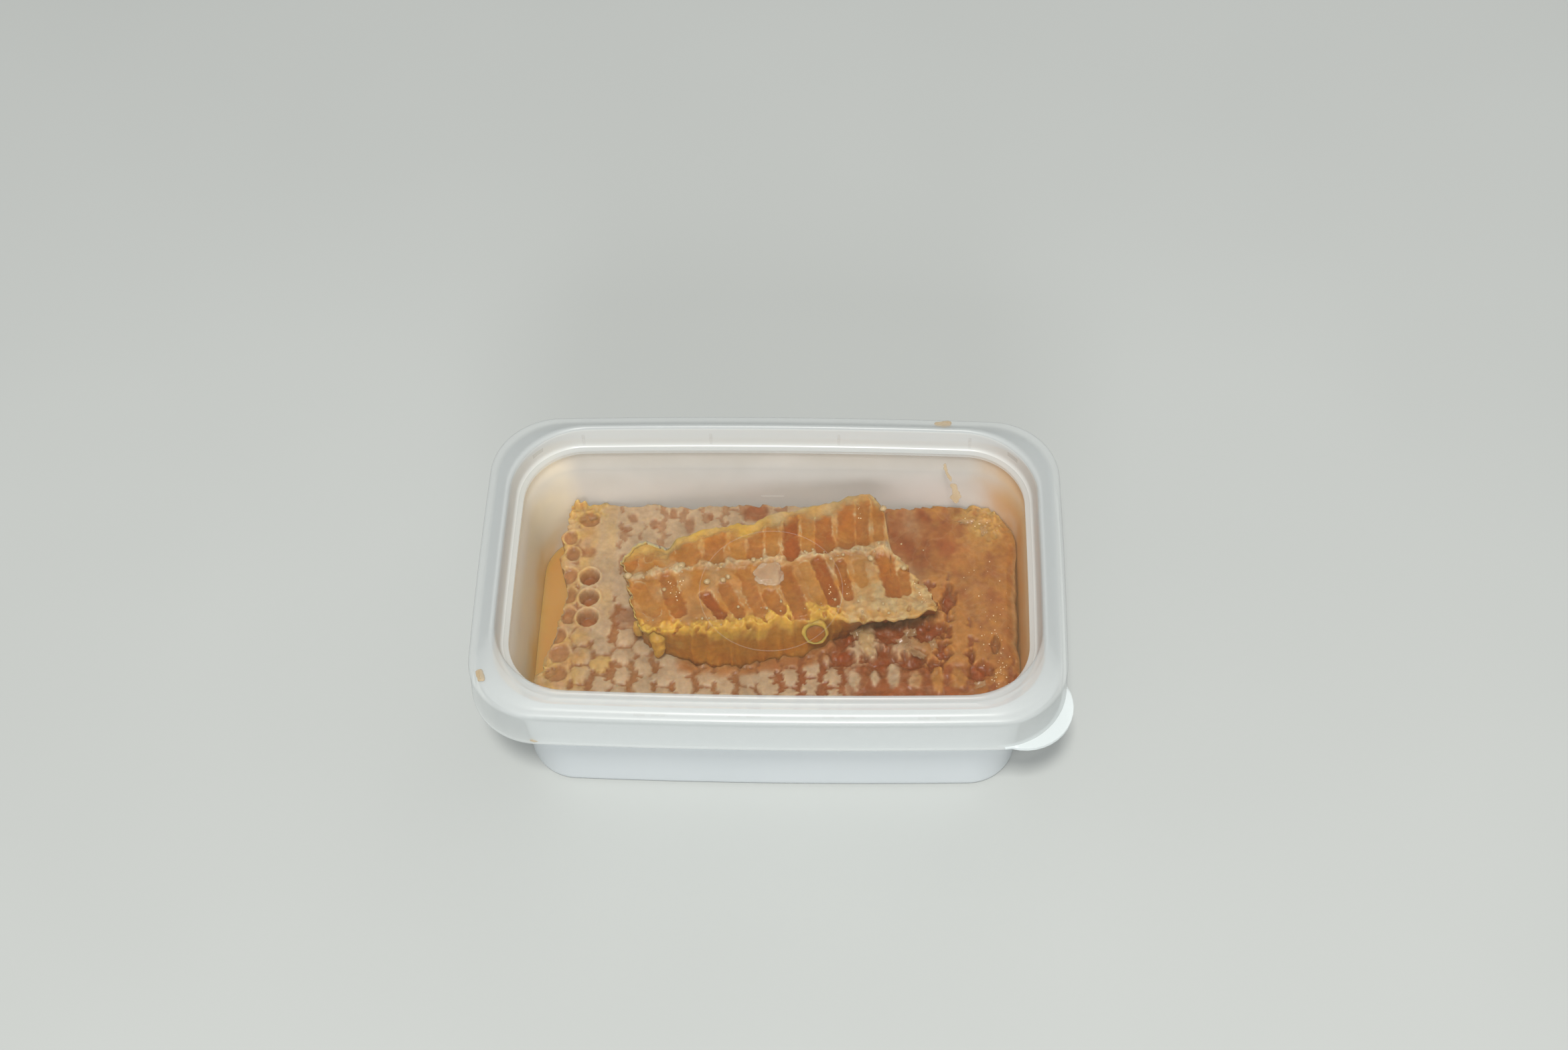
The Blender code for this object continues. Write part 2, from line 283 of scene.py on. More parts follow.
def corner_centre(half_length, half_width, corner):
    """Centre of the arc that touches the long side's arc and the short side's arc."""
    long_centre = Vector((0.0, half_width - LONG_SIDE_RADIUS))
    short_centre = Vector((half_length - SHORT_SIDE_RADIUS, 0.0))
    to_long = LONG_SIDE_RADIUS - corner
    to_short = SHORT_SIDE_RADIUS - corner
    apart = short_centre - long_centre
    along = (to_long ** 2 - to_short ** 2 + apart.length_squared) / (2.0 * apart.length)
    across = math.sqrt(to_long ** 2 - along ** 2)
    direction = apart.normalized()
    side = Vector((-direction.y, direction.x))
    candidates = [long_centre + direction * along + side * across * sign for sign in (1, -1)]
    return max(candidates, key=lambda point: point.x), long_centre, short_centre


def arc(centre, radius, start, end, steps):
    """Points of an arc, without its last one."""
    angles = [start + (end - start) * step / steps for step in range(steps)]
    return [centre + radius * Vector((math.cos(angle), math.sin(angle))) for angle in angles]


def outline(half_length, half_width, corner, z):
    """Bowed rounded rectangle at one height, anticlockwise from the middle of the front side."""
    centre, long_centre, short_centre = corner_centre(half_length, half_width, corner)
    short_end = math.atan2(*(centre - short_centre).yx)
    long_end = math.atan2(*(centre - long_centre).yx)
    quarter = arc(short_centre, SHORT_SIDE_RADIUS, 0.0, short_end, SIDE_STEPS)
    quarter += arc(centre, corner, short_end, long_end, CORNER_STEPS)
    quarter += arc(long_centre, LONG_SIDE_RADIUS, long_end, math.pi / 2, SIDE_STEPS)
    right_half = [Vector((p.x, -p.y)) for p in reversed(quarter[1:])] + quarter + [Vector((0.0, half_width))]
    left_half = [Vector((-p.x, p.y)) for p in reversed(right_half[:-1])]
    return [Vector((p.x, p.y, z)) for p in [Vector((0.0, -half_width))] + right_half + left_half]


def lid_ring(inset, z, corner):
    """Outline that lies a given distance inside the lid's edge, at one height."""
    return outline(LID_HALF_LENGTH - inset, LID_HALF_WIDTH - inset, corner, z)


BODY_HALF_LENGTH = 58.6
BODY_HALF_WIDTH = 33.1
BODY_CORNER = 11.5
BODY_DRAFT = 0.066


def body_ring(inset, z):
    """Outline of the tub's leaning body at one height."""
    lean = BODY_DRAFT * z - inset
    return outline(BODY_HALF_LENGTH + lean, BODY_HALF_WIDTH + lean, BODY_CORNER + lean, z)


print("points in an outline:", len(lid_ring(0.0, 0.0, LID_CORNER)))

# %% [markdown]
# A moulded shell is a run of such rings: up the outside, over the rim and down the inside.
# `loft` starts from one flat face and extrudes it from ring to ring. Every vertex carries its
# place in the ring, so an extruded face knows where each of its corners goes next.

# %% Loft
def loft(rings):
    """Closed body through a run of rings: one face is extruded from ring to ring."""
    bm = bmesh.new()
    place = bm.verts.layers.int.new("place")
    corners = []
    for index, point in enumerate(rings[0]):
        vert = bm.verts.new(point)
        vert[place] = index
        corners.append(vert)
    face = bm.faces.new(corners)
    for step, ring in enumerate(rings[1:]):
        grown = bmesh.ops.extrude_face_region(bm, geom=[face])
        if step > 0:
            bm.faces.remove(face)
        face = next(part for part in grown["geom"] if isinstance(part, bmesh.types.BMFace))
        for vert in face.verts:
            vert.co = ring[vert[place]]
    bmesh.ops.recalc_face_normals(bm, faces=bm.faces)
    return bm


def rounded(rings):
    """Soften a run of rings by cutting its corners: two rings take the place of one."""
    softer = [rings[0]]
    for ring, following in zip(rings, rings[1:]):
        softer.append([a.lerp(b, 0.25) for a, b in zip(ring, following)])
        softer.append([a.lerp(b, 0.75) for a, b in zip(ring, following)])
    return softer + [rings[-1]]


print("rings after rounding four:", len(rounded([body_ring(0.0, z) for z in range(4)])))


# %% [markdown]
# ## The tub
#
# Such tubs are injection-moulded from white polypropylene. The wall is under a millimetre
# thick, so some light gets through it: it looks cool and bright where it stands free, and it
# takes a warm tint from honey that lies against it. Polypropylene is slightly waxy, with an
# even satin shine and no grain.

# %% White polypropylene
white_pp = mottled_material("moulded_white_polypropylene", 18.0, "C2C8CB", "CBD0D3",
                            {"Roughness": 0.34, "IOR": PLASTIC_IOR, **scatter(0.25, 3.0, 3.0, 3.0)})

# %% [markdown]
# Inside, the wall is not clean: a thin film of honey has crept up it, more on the left and right where the comb touches
# it, and the honey also throws warm light onto it. The same plastic therefore gets a second finish for its inner faces,
# tinted by place: pale cream at the left end, darker down by the pool, tan at the right end, and nearly bare at the
# back. These tints are partly the honey film and partly painted light. The pale left end is painted light on a wall
# that is in shade. The amber by the pool is a painted glow from the honey. The back and left tints are painted darker
# towards the top and lighter low down, in place of shade, while the right tint thins upwards with the film. Each tint
# fades in along an axis, and noise makes the fading edge wavy.

# %% Polypropylene with a film of honey and painted light
FILM_WAVE_MM = 8.0
film_and_painted_light_pp, film_and_painted_light_shader = start_material("white_polypropylene_honey_film_and_painted_light")
place = add_node(film_and_painted_light_pp, "TexCoord", {}, "Object")
wavy = add_node(film_and_painted_light_pp, "MapRange", {
    "Value": speckle(film_and_painted_light_pp, 7.0), "To Min": -FILM_WAVE_MM * MM, "To Max": FILM_WAVE_MM * MM})
along, height = (
    add_node(film_and_painted_light_pp, "Math",
             {0: add_node(film_and_painted_light_pp, "SeparateXYZ", {0: place}, axis), 1: wavy}, operation="ADD")
    for axis in ("X", "Z"))
to_left, to_right, upward_film_and_painted_shade, pool_film_and_painted_glow = (
    add_node(film_and_painted_light_pp, "MapRange", {"Value": value, "From Min": start * MM, "From Max": end * MM},
             interpolation_type="SMOOTHSTEP")
    for value, start, end in ((along, -46.0, -60.0), (along, 48.0, 60.0), (height, 27.0, 41.0), (height, 20.0, 8.0)))
# Painted shade and light: the back and left tints turn darker towards the top, the left end is painted pale as light,
# and the amber by the pool is a painted glow from the honey.
back_tone = coats(film_and_painted_light_pp, "D0CDC8", (upward_film_and_painted_shade, "BDBBB5"))
left_film_and_painted_light = coats(film_and_painted_light_pp, "F8E6C2", (upward_film_and_painted_shade, "EADFCC"), (pool_film_and_painted_glow, "DCA95C"))
right_tone = coats(film_and_painted_light_pp, "CE9458", (upward_film_and_painted_shade, "CBAC88"))
set_inputs(film_and_painted_light_pp, film_and_painted_light_shader, {
    "Base Color": coats(film_and_painted_light_pp, back_tone, (to_left, left_film_and_painted_light), (to_right, right_tone)),
    "Roughness": 0.3, "IOR": PLASTIC_IOR, **scatter(0.6, 5.0, 5.0, 5.0)})

# %% [markdown]
# The tub's rings go up the outside of the leaning body, out to a wide rim that carries the
# lid, over it, and down the inside. The wall is 0.8 mm thick and the floor 1 mm.

# %% Tub
STEP_LOW_Z = 35.5
STEP_HIGH_Z = 38.5
RIM_Z = 44.8
TUB_WALL = 0.8
body_outside = ((1.6, 0.0), (1.2, 0.0), (0.3, 0.5), (0.0, 1.6), (0.0, 2.6), (0.0, 20.0),
                (0.0, STEP_LOW_Z - 0.5), (0.0, STEP_LOW_Z))
rim_over = ((4.4, STEP_HIGH_Z, 15.4), (4.2, STEP_HIGH_Z + 1.0, 15.4), (4.2, RIM_Z - 0.9, 15.4),
            (2.3, RIM_Z - 0.9, 14.4), (2.3, RIM_Z - 3.0, 14.4), (1.5, RIM_Z - 3.0, 15.0),
            (1.5, RIM_Z - 0.4, 15.0), (1.9, RIM_Z, 14.8), (4.7, RIM_Z, 15.8), (5.1, RIM_Z - 0.6, 16.0),
            (5.7, RIM_Z - 2.6, 15.6), (6.6, RIM_Z - 5.2, 15.0), (7.5, RIM_Z - 7.8, 14.2))
body_inside = ((TUB_WALL, STEP_LOW_Z - 1.5), (TUB_WALL, 20.0), (TUB_WALL, 2.8), (1.2, 1.5), (2.2, 1.0))
tub_mesh = loft(rounded([body_ring(*row) for row in body_outside] + [lid_ring(*row) for row in rim_over]
                        + [body_ring(*row) for row in body_inside]))
for face in tub_mesh.faces:
    middle = face.calc_center_median()
    inward = face.normal.x * middle.x + face.normal.y * middle.y < 0.0
    face.material_index = 1 if inward and 1.5 < middle.z < RIM_Z - 0.5 and abs(middle.x) < 63.0 else 0
finish_piece("tub_shell", tub_mesh, [white_pp, film_and_painted_light_pp], "tub", sharp_angle=40)

# %% [markdown]
# ## The lid
#
# The lid is clear polypropylene, which is never quite clear: it scatters light a little, so things under it look soft
# and pale, and its thicker folded edges look milky white. It is one shell with four finishes: the thin window panel,
# the thicker rim, the wall of the recess round the window, and the pull tab, which is the whitest. The recess wall and
# the tab are lighter, more covering copies of the rim's finish, and that is painted light: the recess wall faces away
# from the lamp but glows with light scattered through the plastic, and the tab catches the lamp. Each face of the shell
# covers a share of what is behind it, and light passes the rest, which is how a thin sheet looks without bending what
# is seen through it.

# %% Milky clear polypropylene
def milky_sheet(name, cover, tone, roughness):
    """Thin clear stuff whose two faces each hide a share of what is behind."""
    material, shader = start_material(name)
    set_inputs(material, shader, {
        "Base Color": tone, "Roughness": roughness, "IOR": PLASTIC_IOR, "Specular IOR Level": 0.7,
        "Coat Weight": 0.35, "Coat Roughness": 0.2, "Alpha": cover})
    return material


window_pp = milky_sheet("clear_polypropylene_panel", 0.045, "B49E7C", 0.3)
mark_pp = milky_sheet("clear_polypropylene_moulded_mark", 0.08, "D9D4CC", 0.25)
rim_pp = milky_sheet("milky_polypropylene_rim", 0.42, "D2D6D5", 0.38)
# Painted light: the recess wall is a lighter copy of the rim's finish, for light that the plastic scatters onto this
# wall, which faces away from the lamp.
recess_painted_light_pp = milky_sheet("milky_polypropylene_recess_wall_painted_light", 0.52, "DFE2E0", 0.4)
# Painted light: the tab is a whiter copy of the rim's finish, for the lamp's light that it catches.
tab_painted_light_pp = milky_sheet("milky_polypropylene_tab_painted_light", 0.6, "E6EDEE", 0.3)

# %% [markdown]
# The pull tab is a half-moon at one corner of the skirt. The skirt's lowest rings follow the
# lid's outline, except that their points near that corner are moved straight out until they
# meet the tab's circle.

# %% Lid profile and pull tab
SHOULDER_Z = 46.0
SKIRT_BOTTOM_Z = 35.2
CREST_Z = 49.6
PANEL_Z = 43.7
LID_WALL = 0.9
UNDER_PANEL_Z = PANEL_Z - LID_WALL
TAB_CENTRE = Vector((58.6, -31.4))
TAB_RADIUS = 11.4


def tab_ring(inset, z, corner):
    """Lid outline whose points near the tab's corner are moved out to the tab's edge."""
    centre, _, _ = corner_centre(LID_HALF_LENGTH, LID_HALF_WIDTH, LID_CORNER)
    pivot = Vector((centre.x, -centre.y))
    offset = pivot - TAB_CENTRE
    ring = lid_ring(inset, z, corner)
    for point in ring:
        if (point.xy - TAB_CENTRE).length < TAB_RADIUS:
            direction = (point.xy - pivot).normalized()
            lean = offset.dot(direction)
            reach = -lean + math.sqrt(lean ** 2 - offset.length_squared + TAB_RADIUS ** 2)
            point.xy = pivot + direction * reach
    return ring


tab_reach = max(point.x for point in tab_ring(0.0, SKIRT_BOTTOM_Z, LID_CORNER))
print("the pull tab reaches", round(tab_reach, 1), "mm, the lid", LID_HALF_LENGTH)


# %% Lid
outside = ((8.4, PANEL_Z, 14.6), (7.4, PANEL_Z, 15.4), (6.7, PANEL_Z + 0.4, 15.8), (6.5, PANEL_Z + 1.6, 16.2),
           (6.0, CREST_Z - 1.4, 18.0), (5.8, CREST_Z - 0.2, 18.3), (5.0, CREST_Z + 0.1, 18.3),
           (4.2, CREST_Z - 0.7, 17.9), (2.6, SHOULDER_Z + 1.3, 16.2), (1.7, SHOULDER_Z + 0.7, 16.0),
           (0.5, SHOULDER_Z + 0.6, 15.9), (-0.05, SHOULDER_Z + 0.1, LID_CORNER),
           (0.0, SHOULDER_Z - 1.0, LID_CORNER), (-0.3, SKIRT_BOTTOM_Z + 1.4, LID_CORNER + 0.3))
tab_edge = ((-0.4, 0.9), (-0.5, 0.6), (-0.5, 0.25), (-0.4, 0.0))
inside = ((LID_WALL - 0.3, SKIRT_BOTTOM_Z + 0.4, LID_CORNER - 0.6), (LID_WALL, SHOULDER_Z - 0.7, LID_CORNER - 0.9),
          (2.0, SHOULDER_Z - 0.1, 15.4), (4.4, SHOULDER_Z + 1.8, 17.6), (5.1, SHOULDER_Z + 1.6, 17.8),
          (5.9, UNDER_PANEL_Z + 0.5, 16.6), (6.7, UNDER_PANEL_Z, 16.0), (8.4, UNDER_PANEL_Z, 14.6))
edge = [lid_ring(-0.35, SKIRT_BOTTOM_Z + 1.0, LID_CORNER + 0.3)]
edge += [tab_ring(inset, SKIRT_BOTTOM_Z + rise, LID_CORNER + 0.4) for inset, rise in tab_edge]
edge += [lid_ring(LID_WALL - 0.4, SKIRT_BOTTOM_Z, LID_CORNER - 0.5)]
lid_mesh = loft(rounded([lid_ring(*row) for row in outside]) + edge + rounded([lid_ring(*row) for row in inside]))
for face in lid_mesh.faces:
    middle = face.calc_center_median()
    in_window = abs(face.normal.z) > 0.99 and len(face.verts) > 4
    on_tab = middle.z < SKIRT_BOTTOM_Z + 1.1 and (middle.xy - TAB_CENTRE).length < TAB_RADIUS + 0.5
    faces_middle = face.normal.x * middle.x + face.normal.y * middle.y < 0.0 < face.normal.z
    in_recess = faces_middle and PANEL_Z + 0.2 < middle.z < CREST_Z - 0.6
    face.material_index = 0 if in_window else 2 if on_tab else 3 if in_recess else 1
finish_piece("lid_shell", lid_mesh, [window_pp, rim_pp, tab_painted_light_pp, recess_painted_light_pp], "lid", sharp_angle=40)

# %% [markdown]
# The panel carries a plain moulded ring, a short gate mark and low ribs on the wall round it,
# and the ledge in front has a row of short dashes. The ring stands up by a fraction of a
# millimetre: a circle spun into a thin tube, half of it sunk in the panel. The rest are small
# bars with bevelled edges.

# %% Moulded details of the lid
def add_ring(bm, centre, radius, thickness, sides, steps):
    """Start a mesh with a thin flat ring: a small circle spun once round the vertical."""
    start = Matrix.Translation(centre + Vector((radius, 0.0, 0.0))) @ Matrix.Rotation(math.pi / 2, 4, "X")
    circle = bmesh.ops.create_circle(bm, segments=sides, radius=thickness, matrix=start)
    bmesh.ops.spin(bm, geom=edges_of(circle["verts"]) + circle["verts"], cent=centre, axis=(0, 0, 1),
                   angle=2.0 * math.pi, steps=steps, use_merge=True)
    bmesh.ops.remove_doubles(bm, verts=bm.verts, dist=0.001)
    bmesh.ops.recalc_face_normals(bm, faces=bm.faces)


def add_bar(bm, centre, size):
    """A small bar with rounded edges."""
    place = Matrix.Translation(Vector(centre)) @ Matrix.Diagonal((*size, 1.0))
    made = bmesh.ops.create_cube(bm, size=1.0, matrix=place)
    bmesh.ops.bevel(bm, geom=edges_of(made["verts"]), offset=0.3 * min(size), affect="EDGES", segments=2,
                    profile=0.5, material=-1)


RIB_SIZE = (0.7, 0.5, 3.6)
details = bmesh.new()
add_ring(details, Vector((0.2, -5.6, PANEL_Z)), 16.7, 0.09, sides=8, steps=120)
add_bar(details, (-0.3, 21.3, PANEL_Z + 0.05), (5.6, 0.35, 0.4))
for x in (-46.5, -15.6, 15.4, 47.0):
    for side in (-1, 1):
        bow = x * x / (2.0 * LONG_SIDE_RADIUS)
        add_bar(details, (x, side * (36.55 - bow), PANEL_Z + 2.4), RIB_SIZE)
for start in (-29.6, -8.3, 12.7, 34.1):
    for shift, length in ((1.4, 2.6), (5.7, 3.2)):
        add_bar(details, (start + shift, -41.4, SHOULDER_Z + 0.66), (length, 0.6, 0.3))
finish_piece("lid_moulded_details", details, [mark_pp], sharp_angle=40)

# %% [markdown]
# ## Honey
#
# Honey is a clear amber syrup. A pool a centimetre deep lies between the slab and the wall at
# the left, and lit through the white tub it glows yellow-orange. The pool is a loft of the
# tub's own rings, cut off by a plane where the slab begins, and a thin layer runs on under
# the slab.

# %% Clear amber honey
honey_amber = mottled_material("liquid_amber_honey", 9.0, "CBA056", "C28843", {
    "Roughness": 0.12, "IOR": HONEY_IOR, "Coat Weight": 0.5, "Coat Roughness": 0.05,
    **scatter(0.7, 6.0, 3.0, 0.8)})

# %% Pool and the layer under the slab
HONEY_LEVEL = 10.0
POOL_EDGE_X = -50.2
pool = loft([body_ring(inset, z) for inset, z in (
    (0.7, 3.2), (0.7, 6.0), (0.7, HONEY_LEVEL - 0.6), (0.9, HONEY_LEVEL - 0.1),
    (1.8, HONEY_LEVEL - 0.2), (3.0, HONEY_LEVEL - 0.25))])
cut = bmesh.ops.bisect_plane(pool, geom=pool.verts[:] + pool.edges[:] + pool.faces[:],
                             plane_co=(POOL_EDGE_X, 0.0, 0.0), plane_no=(1.0, 0.0, 0.0), clear_outer=True)
cut_edges = [part for part in cut["geom_cut"] if isinstance(part, bmesh.types.BMEdge)]
bmesh.ops.contextual_create(pool, geom=cut_edges)
layer = loft([body_ring(1.8, 1.2), body_ring(0.7, 2.4), body_ring(0.7, 3.1)])
layer_mesh = bpy.data.meshes.new("layer")
layer.to_mesh(layer_mesh)
layer.free()
pool.from_mesh(layer_mesh)
bpy.data.meshes.remove(layer_mesh)
bmesh.ops.recalc_face_normals(pool, faces=pool.faces)
finish_piece("honey_pool", pool, [honey_amber], "honey", sharp_angle=40)

# %% [markdown]
# ## Wax and honey
#
# Beeswax cappings are pale cream, slightly see-through and dull. Where they are wet or warm
# they turn orange, and where pollen or old wax is mixed in they are yellow. Honey in the gaps
# runs from orange where it is shallow to dark red-brown where it is deep, and it is glossy.
# The comb meshes carry four masks in one colour attribute: red is how much wax covers the
# point, green how warm that wax is, blue how yellow, and alpha how deep the honey is. The
# shader mixes five hex colours by these masks and adds thin pale wisps of wax, and noise at
# several sizes keeps any of them from being flat. Light travels a few millimetres inside wax
# and honey, red the farthest, which gives the comb its glow.

# %% Comb materials
WISP_MM = 4.0
WISP_WIDTH = 0.035
WISP_STRENGTH = 0.12
BLOTCH_MM = 4.0
GRAIN_MM = 0.7
PORE_MM = 0.6
PORE_DEPTH_MM = 0.4
WET_ROUGHNESS = 0.38
DRY_ROUGHNESS = 0.5


def wisps(material):
    """Thin wandering lines, strongest where a noise passes its middle value."""
    field = speckle(material, WISP_MM, detail=5.0, distortion=0.8)
    from_middle = add_node(material, "Math", {0: field, 1: 0.5}, operation="SUBTRACT")
    distance = add_node(material, "Math", {0: from_middle}, operation="ABSOLUTE")
    return add_node(material, "MapRange", {
        "Value": distance, "From Max": WISP_WIDTH, "To Min": WISP_STRENGTH, "To Max": 0.0})


def comb_material(name, pale_wax, warm_wax, yellow_wax, shallow_honey, deep_honey, wisp_wax):
    """Wax and honey chosen by the four masks of the comb attribute, with wisps of pale wax."""
    material, shader = start_material(name)
    masks, depth = (add_node(material, "Attribute", {}, output, attribute_name="comb")
                    for output in ("Color", "Alpha"))
    wax, warmth, yellow = (add_node(material, "SeparateColor", {"Color": masks}, output)
                           for output in ("Red", "Green", "Blue"))
    wax_colour = coats(material, pale_wax, (warmth, warm_wax), (yellow, yellow_wax))
    honey_colour = coats(material, shallow_honey, (depth, deep_honey))
    colour = coats(material, honey_colour, (wax, wax_colour), (wisps(material), wisp_wax))
    blotch, grain = (
        add_node(material, "MapRange", {"Value": speckle(material, size_mm, detail), "From Min": 0.3,
                                        "From Max": 0.7, "To Min": darkest, "To Max": brightest})
        for size_mm, detail, darkest, brightest in ((BLOTCH_MM, 3.0, 0.86, 1.12), (GRAIN_MM, 4.0, 0.87, 1.13)))
    both = add_node(material, "Math", {0: blotch, 1: grain}, operation="MULTIPLY")
    shade = add_node(material, "CombineColor", {"Red": both, "Green": both, "Blue": both})
    colour = add_node(material, "Mix", {MIX_SHARE: 1.0, MIX_BASE: colour, MIX_COAT: shade}, MIX_RESULT,
                      data_type="RGBA", blend_type="MULTIPLY")
    wet_shine = add_node(material, "MapRange", {"Value": wax, "To Min": WET_ROUGHNESS, "To Max": DRY_ROUGHNESS})
    pores = add_node(material, "Bump",
                     {"Height": speckle(material, PORE_MM, 3.0), "Strength": 0.4, "Distance": PORE_DEPTH_MM * MM})
    set_inputs(material, shader, {
        "Base Color": colour, "Roughness": wet_shine, "Normal": pores, "IOR": WAX_IOR,
        "Specular IOR Level": 0.35, **scatter(0.8, 4.5, 2.6, 1.4)})
    return material


capped_comb = comb_material("capped_beeswax_comb", pale_wax="B59D80", warm_wax="AC7334", yellow_wax="C09C5A",
                            shallow_honey="A06C42", deep_honey="8C421A", wisp_wax="C2A57C")
cut_comb = comb_material("cut_comb_wet_with_honey", pale_wax="B5A07C", warm_wax="AE722A", yellow_wax="C69A42",
                         shallow_honey="AA7027", deep_honey="964A14", wisp_wax="C09A5A")

# %% [markdown]
# ## The slab of comb
#
# Bees close each full cell with a domed cap of wax. A worker cell is a little over five
# millimetres across. Old caps grow together into one skin, and honey shows through it only in
# ragged slits, mostly where three cells meet. The top is modelled as a fine sheet whose height
# and masks follow from the nearest cells: a slit opens round a corner between three of them,
# and it runs on along the gaps between columns. Columns of cells run from back to front, and
# every second column is half a cell further back.

# %% Cells
CELL_COLUMN = 5.0
CELL_ROW = 5.4
FIRST_X = -0.5
FIRST_Y = -1.4


def cell_centre(column, row):
    """Middle of a cell, each one a little out of line."""
    x = FIRST_X + column * CELL_COLUMN
    y = FIRST_Y + (row + (0.5 if column % 2 == 0 else 0.0)) * CELL_ROW
    return x + 0.5 * rough_noise(x, y, 3.0, 7.0), y + 0.5 * rough_noise(x, y, 9.0, 7.0)


def nearest_cells(x, y):
    """The three nearest cells: distance, middle, column and row of each."""
    found = []
    middle_column = round((x - FIRST_X) / CELL_COLUMN)
    for column in (middle_column - 1, middle_column, middle_column + 1):
        shift = 0.5 if column % 2 == 0 else 0.0
        middle_row = round((y - FIRST_Y) / CELL_ROW - shift)
        for row in (middle_row - 1, middle_row, middle_row + 1):
            centre_x, centre_y = cell_centre(column, row)
            found.append((math.hypot(x - centre_x, y - centre_y), centre_x, centre_y, column, row))
    return sorted(found)[:3]


def patch(x, y, centre_x, centre_y, reach_x, reach_y, ragged=0.55, blur=0.3):
    """1 in the middle of an oval patch, falling to 0 at its ragged edge."""
    away = math.hypot((x - centre_x) / reach_x, (y - centre_y) / reach_y)
    away += ragged * rough(x, y, (1.0, 5.0, 3.0), (0.5, 1.0, 1.1))
    return 1.0 - smoothstep(1.0 - blur, 1.0 + blur, away)


def patches(x, y, table):
    """The strongest of several patches. Those too far away to matter are passed over."""
    near = [row for row in table if abs(x - row[0]) < 1.8 * row[2] and abs(y - row[1]) < 1.8 * row[3]]
    return max((patch(x, y, *row) for row in near), default=0.0)


def round_hole(x, y, table):
    """How far a point is inside the nearest round cell of a table, as a share of its radius."""
    return max(1.0 - math.hypot((x - row[0]) / row[2], (y - row[1]) / row[3]) for row in table)


print("cell under the middle of the slab:", [round(v, 1) for v in nearest_cells(0.0, 0.0)[0]])

# %% [markdown]
# The slab is not the same all over. The left and the back are cream caps that have grown
# together, with a smooth smeared column near the left and a row of cells outside it that were
# cut open. Towards the front the slits open up. The right front is torn, so that the caps are
# gone and dark honey shows between a few narrow bits of wax. The right end is smeared smooth
# with honey. The tables below place these features. Each row is the middle of a patch and how
# far it reaches to the sides and to the front and back, in millimetres.

# %% Places on the slab
TORN_PITS = [(18.2, -6.0, 3.0, 3.4), (28.4, -4.4, 5.0, 3.6), (37.0, -3.4, 5.4, 3.2), (41.2, -9.4, 2.7, 2.9),
             (26.0, -11.5, 5.0, 4.0), (33.5, -11.5, 3.6, 3.4), (42.2, 4.6, 2.2, 5.2), (49.6, -15.0, 3.3, 2.4),
             (53.3, -8.0, 1.1, 3.2), (16.8, -12.0, 3.4, 3.0), (39.0, -13.5, 2.0, 2.6), (47.6, -11.0, 1.0, 2.0)]
DARK_MARKS = [(-35.6, -0.9, 4.0, 2.9), (-35.5, 28.0, 1.2, 2.0), (-36.8, 25.0, 1.5, 0.9), (-30.3, 26.3, 1.1, 1.7),
              (-25.7, 29.2, 1.0, 1.6), (-21.4, 26.0, 1.3, 2.2), (-16.5, 28.6, 0.8, 1.3), (-37.2, 14.5, 1.0, 2.6),
              (-46.4, 17.4, 2.2, 2.0), (-48.6, 14.8, 1.6, 1.2), (-33.4, 5.8, 0.8, 2.4)]
NARROW_CAPS = [(19.6, -18.0, 1.5, 3.0), (24.6, -17.6, 1.0, 2.6), (29.3, -16.6, 1.5, 3.2), (34.4, -17.4, 1.8, 2.6),
               (39.3, -17.2, 1.4, 3.4), (44.4, -17.0, 1.9, 3.0), (44.5, -8.4, 2.2, 2.3), (44.5, -3.4, 1.9, 2.1),
               (44.4, 1.6, 1.9, 2.3), (39.8, 0.2, 1.7, 1.7), (37.6, -8.4, 2.0, 1.3), (32.6, -9.2, 1.2, 1.6),
               (22.4, -6.6, 2.2, 3.6), (24.0, -9.8, 1.0, 2.6), (54.4, -16.0, 1.4, 2.2)]
OPEN_CELLS = [(-45.0, 10.1, 2.75, 2.7), (-44.7, 4.2, 2.7, 2.6), (-44.7, -1.5, 2.9, 2.8)]
FILLED_CELLS = [(-46.3, 27.4, 3.0, 2.5), (-50.0, 10.6, 2.4, 2.6), (-49.8, 4.9, 2.4, 2.6), (-49.3, -0.9, 2.3, 2.7),
                (-52.6, 7.4, 1.5, 2.4), (-51.4, -6.6, 2.2, 2.5), (-50.7, -11.6, 2.9, 2.9), (-51.2, -17.2, 3.2, 2.6),
                (-49.6, 17.0, 2.0, 2.4), (-50.5, 22.0, 2.0, 2.4)]
EMPTY_CELL = (-5.3, 30.2, 3.3, 2.7, 0.15)
DARK_SMEAR = (34.0, 22.0, 11.0, 10.0)
CORNER_WAX = (52.5, 26.5, 8.0, 7.0)
CRUMBLY_CORNERS = [(-49.0, 31.0, 6.0, 5.0), (52.0, 29.0, 7.0, 6.0), (-53.0, -16.5, 2.2, 2.6)]
LEFT_PEAK = (-48.8, 32.0, 1.6, 1.4)
YELLOW_CAP = (22.6, -7.0, 2.4, 3.4)
WET_LINE = [(-26.0, -11.0), (-22.0, -14.2), (-10.0, -15.2), (0.0, -14.0), (8.0, -12.4), (14.0, -9.5), (18.0, -6.0)]
print("torn pits, dark marks and narrow caps:", len(TORN_PITS), len(DARK_MARKS), len(NARROW_CAPS))

# %% [markdown]
# `slab_regions` says how strongly each kind of surface holds at a point. Every limit in it is a
# place in millimetres where a region starts and where it is full.

